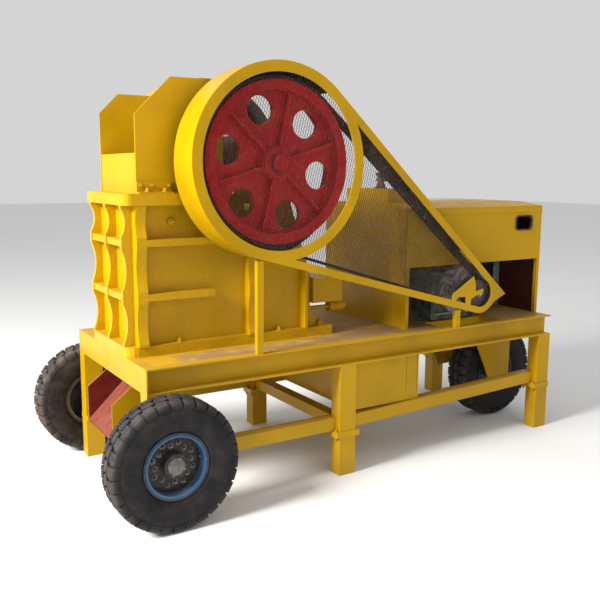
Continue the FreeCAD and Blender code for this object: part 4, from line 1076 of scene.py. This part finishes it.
# ---- Wheels -----------------------------------------------------------------------------------
# Road wheels with steel discs: blue enamel rims, black disc centres with sixteen wheel nuts, and cast
# hub caps. The tyres are old industrial cross-plies with big shoulder blocks, grey with dust.

def tyre_rubber(name, centre, dusty):
    rubber = Finish(name, IOR=1.4, Specular_IOR_Level=0.22)
    where = rubber.spot(centre)
    out = rubber.from_axle(centre)
    cloud = rubber.noise(0.09, 5.0, 0.65, where)
    grit = rubber.noise(0.006, 4.0, 0.6, where)
    crack = rubber.cells(0.016, where, "DISTANCE_TO_EDGE")
    tread = rubber.step(out, 0.300, 0.334)
    dirt = rubber.step(cloud + grit * 0.3, 0.50, 0.85) * (tread * 0.7 + 0.25) * dusty
    tone = rubber.mix(rubber.step(cloud, 0.35, 0.7), (0.011, 0.011, 0.012, 1), (0.020, 0.019, 0.020, 1))
    tone = rubber.mix(tread * 0.6, tone, (0.036, 0.036, 0.042, 1))
    tone = rubber.mix(dirt, tone, (0.13, 0.095, 0.070, 1))
    grain = rubber.bump(grit, 0.0008, 0.6)
    grain = rubber.bump(rubber.step(crack, 0.0, 0.05), 0.0004, 0.25, grain)
    rubber.feed(Base_Color=tone, Roughness=rubber.step(cloud, 0.3, 0.7, 0.55, 0.8), Normal=grain)
    return rubber.material


def wheel_enamel(name, centre, hue):
    """Blue on the barrel and rim flanges, black and oily on the disc, with rust creeping from the nuts."""
    def disc(paint, base):
        out = paint.from_axle(centre)
        blot = paint.noise(0.03, 5.0, 0.7)
        black = paint.mix(paint.step(blot, 0.4, 0.7), (0.020, 0.020, 0.022, 1), (0.060, 0.042, 0.032, 1))
        edge = paint.step(out, 0.156, 0.160) * paint.step(abs(paint.facing("Y")), 0.5, 0.8)
        return paint.mix(paint.step(out, 0.1470, 0.1485, 1.0, 0.0) + edge * 0.8, base, black)
    return enamel(name, hue, dust=0.3, chips=0.9, gloss=0.30, shade=disc)


def hub_iron():
    iron = Finish("greasy_hub_iron", IOR=1.8)
    patch = iron.noise(0.02, 5.0, 0.65)
    tone = iron.mix(iron.step(patch, 0.4, 0.66), (0.115, 0.125, 0.105, 1), (0.065, 0.045, 0.030, 1))
    iron.feed(Base_Color=tone, Roughness=iron.step(patch, 0.35, 0.7, 0.38, 0.7),
              Metallic=iron.step(patch, 0.4, 0.66, 0.4, 0.1), Normal=iron.bump(patch, 0.0012, 0.6))
    return iron.material


greasy_iron = hub_iron()
BLUE = (0.040, 0.115, 0.235, 1)
BROWN = (0.085, 0.060, 0.040, 1)
BLACK = (0.022, 0.021, 0.022, 1)
TYRE_RADIUS, TYRE_HALF, RIM_RADIUS, RIM_HALF = 0.338, 0.086, 0.155, 0.068
PITCHES, LUG_DEEP, LUG_SINK = 30, 0.022, 0.0124


def round_tread(lug, count_from, y=0.0):
    """Copies of one block, stood round the tread."""
    stand = Matrix.Translation((0, y, TYRE_RADIUS - LUG_SINK))
    return copies(lug, [Matrix.Rotation(math.tau * (i + count_from) / PITCHES, 4, "Y") @ stand
                        for i in range(PITCHES)])


def shoulder_lug(side, length):
    """A block of the tread's edge, which narrows toward the middle and rounds off down the shoulder."""
    lug = bar("lug", (length * 0.80, TYRE_HALF * 0.60, LUG_DEEP))
    open_up(lug)
    bpy.ops.mesh.subdivide(number_cuts=1)
    close_up()
    for vertex in lug.data.vertices:
        if vertex.co.y * side > TYRE_HALF * 0.2:
            vertex.co.z -= 0.010 if vertex.co.z > 0.005 else 0.024
            vertex.co.y += side * (0.0005 if vertex.co.z > -0.01 else 0.003)
        if vertex.co.y * side < -TYRE_HALF * 0.2:
            vertex.co.x = vertex.co.x * 0.80 + length * 0.07
    return rounded(lug, 0.0028)


def middle_lug(length):
    """A block of the middle row, with two opposite corners cut off."""
    lug = bar("lug", (length * 0.84, TYRE_HALF * 0.46, LUG_DEEP))
    for side in (1, -1):
        open_up(lug)
        bpy.ops.mesh.bisect(plane_co=(side * length * 0.30, side * TYRE_HALF * 0.20, 0),
                            plane_no=(side, side, 0), clear_outer=True, use_fill=True)
        close_up()
    return rounded(lug, 0.0025)


def tyre(name, centre):
    """A carcass spun from its section, with moulded rings on its walls and three rows of blocks."""
    half, top = TYRE_HALF, TYRE_RADIUS
    wall = [(0.69, RIM_RADIUS + 0.001), (0.69, RIM_RADIUS + 0.018), (0.80, RIM_RADIUS + 0.028),
            (0.95, RIM_RADIUS + 0.058), (0.995, RIM_RADIUS + 0.090), (0.99, top - 0.052),
            (0.965, top - 0.046), (0.93, top - 0.030), (0.84, top - 0.017), (0.5, top - 0.015)]
    section = [(-half * y, radius) for y, radius in wall] + [(0, top - 0.014)]
    section += [(half * y, radius) for y, radius in reversed(wall)]
    pieces = [turned("carcass", section, 72, True)]
    for side in (-1, 1):
        for radius, lift in ((RIM_RADIUS + 0.044, 0.878), (RIM_RADIUS + 0.080, 0.978)):
            y = side * half * lift
            bead = [(y, radius - 0.003), (y + side * 0.0012, radius), (y, radius + 0.003),
                    (y - side * 0.004, radius)]
            pieces.append(turned("bead", bead, 72, True))
    length = math.tau * top / PITCHES
    for side, count_from in ((-1, 0), (1, 0.5)):
        pieces += round_tread(shoulder_lug(side, length), count_from, side * half * 0.66)
    pieces += round_tread(middle_lug(length), 0.25)
    return moved(settle(joined(name, pieces), 32), centre)


HUB_CAP = [(0.0, 0.0), (0.0, 0.058), (0.005, 0.058), (0.009, 0.052), (0.009, 0.047), (0.022, 0.044),
           (0.030, 0.036), (0.033, 0.022), (0.033, 0.0)]
CAP_FLATTEN, DISC_FACE, HUB_FACE, NUTS, NUT_RADII = 0.60, 0.16, 0.92, 16, (0.094, 0.110)
for name, side, dusty, hue in (("front_near", -1, 0.45, BLUE), ("front_far", 1, 0.9, BROWN),
                               ("rear", -1, 0.3, BLACK)):
    body, rim_node, tyre_node = name + "_wheel", name + "_wheel_rim", name + "_wheel_tyre"
    low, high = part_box(rim_node)
    centre = (low + high) / 2
    centre.y = sum(corner.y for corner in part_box(tyre_node)) / 2
    dress([rim_node], wheel_enamel(name + "_wheel_enamel", centre, hue))
    rubber = tyre_rubber(name + "_tyre_rubber", centre, dusty)
    dress([tyre_node], rubber)
    tread = wear(tyre(name + "_tyre_tread", centre), rubber, body)
    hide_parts(tyre_node)

    disc_face, hub_face = centre.y + side * RIM_HALF * DISC_FACE, centre.y + side * RIM_HALF * HUB_FACE
    places = []
    for i in range(NUTS):
        a, radius = math.tau * i / NUTS + 0.1, NUT_RADII[i % 2]
        spot = (centre.x + radius * math.cos(a), disc_face, centre.z + radius * math.sin(a))
        places.append(toward((0, side, 0), spot, 0.5 * i))
    metal = copies(hexagon_bolt(0.0165, 0.014, 1.4), places)
    cap_spot = (centre.x, hub_face - side * 0.010, centre.z)
    metal.append(moved(turned("cap", HUB_CAP, 40), cap_spot, side * CAP_FLATTEN))
    ear_spot = Matrix.Translation((centre.x, hub_face + side * 0.003, centre.z))
    metal += copies(block("ear", (-0.006, -0.050, 0.0), (0.006, 0.050, 0.0065)), [
        ear_spot @ Matrix.Rotation(a, 4, "Y") @ toward((0, side, 0), (0, 0, 0))
        for a in (0.4, 0.4 + math.pi / 2)])
    cap_rim = (centre.x, hub_face - side * 0.0072, centre.z)
    metal += copies(hexagon_bolt(0.0085, 0.005), ring_of(cap_rim, 0.0525, 6, 0, side))
    wear(settle(joined(name + "_wheel_nuts_and_cap", metal)), greasy_iron, body)
    stem = [(centre.x + x, disc_face + side * y, centre.z + z)
            for x, y, z in ((0.132, 0, 0.02), (0.133, 0.015, 0.021), (0.135, 0.034, 0.022))]
    wear(joined(name + "_wheel_valve", [pipe("valve", stem, 0.0045)]), greasy_iron, body)


# ---- Axle brackets ----------------------------------------------------------------------------
# Flame-cut plates welded to the engine bearers, with the rear axle let through them and nutted.

dress(["rear_axle_brackets"], frame_yellow)
axle_x = sum(corner.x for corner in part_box("rear_wheel_rim")) / 2
wheel_y = sum(corner.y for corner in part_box("rear_wheel_tyre")) / 2
COLLAR_OUT = 0.072
AXLE_COLLAR = [(0.0, 0.0305), (0.0, 0.042), (0.004, 0.046), (0.018, 0.046), (0.022, 0.042), (0.022, 0.0305)]
collars = []
for side in (-1, 1):
    spot = (axle_x, wheel_y + side * COLLAR_OUT, TYRE_RADIUS)
    collars.append(moved(turned("collar", AXLE_COLLAR, 32, True), spot, side))
wear(settle(joined("rear_axle_collars", collars)), frame_yellow, "plant")


# ---- Studio -----------------------------------------------------------------------------------
# A pale matt floor under an even white sky, a large soft lamp beyond the crusher end and a weak one on
# the near side, and a camera at standing height off the near front corner.

def pale(name, tone):
    ground = Finish(name, Roughness=0.9)
    patchy = ground.step(ground.noise(0.6, 3.0), 0.3, 0.7)
    light, shade = ((grey, grey, grey, 1) for grey in (tone, tone * 0.985))
    ground.feed(Base_Color=ground.mix(patchy, light, shade))
    return ground.material


floor = begin("floor", bpy.ops.mesh.primitive_plane_add, size=60, location=(8, 10, 0))
floor.data.materials.append(pale("pale_floor", 0.80))
world = bpy.data.worlds.new("soft_room")
bpy.context.scene.world = world
world.use_nodes = True
world.node_tree.nodes["Background"].inputs["Color"].default_value = (1.0, 1.0, 1.0, 1)
world.node_tree.nodes["Background"].inputs["Strength"].default_value = 0.66


def lamp(name, spot, target, size, power, tone=(1, 1, 1)):
    light = bpy.data.lights.new(name, "AREA")
    light.shape = "DISK"
    light.size = size
    light.energy = power
    light.color = tone
    source = bpy.data.objects.new(name, light)
    source.location = spot
    source.rotation_mode = "QUATERNION"
    source.rotation_quaternion = (Vector(spot) - Vector(target)).to_track_quat("Z", "Y")
    bpy.context.scene.collection.objects.link(source)


lamp("key", (-7.5, -1.0, 5.0), (-0.6, 0, 1.0), 2.6, 1300, (1.0, 0.99, 0.95))
lamp("fill", (1.0, -6.5, 5.5), (0, 0, 1.0), 5.0, 45)

bpy.context.scene.view_settings.view_transform = "Standard"
view = bpy.data.cameras.new("view")
view.sensor_width = 36
view.lens = 45.37
view.shift_x = -0.0008
view.shift_y = -0.0071
view.clip_end = 200
camera = bpy.data.objects.new("view", view)
bpy.context.scene.collection.objects.link(camera)
camera.rotation_mode = "QUATERNION"
camera.location = (base_low.x - 1.2727, rail_low.y - 3.4435, 1.75)
PAN, PITCH_DOWN, ROLL = math.radians(-32.11), math.radians(9.16), math.radians(0.385)
aim = Matrix.Rotation(PAN, 4, "Z") @ Matrix.Rotation(math.pi / 2 - PITCH_DOWN, 4, "X")
camera.rotation_quaternion = (aim @ Matrix.Rotation(ROLL, 4, "Z")).to_quaternion()
bpy.context.scene.camera = camera
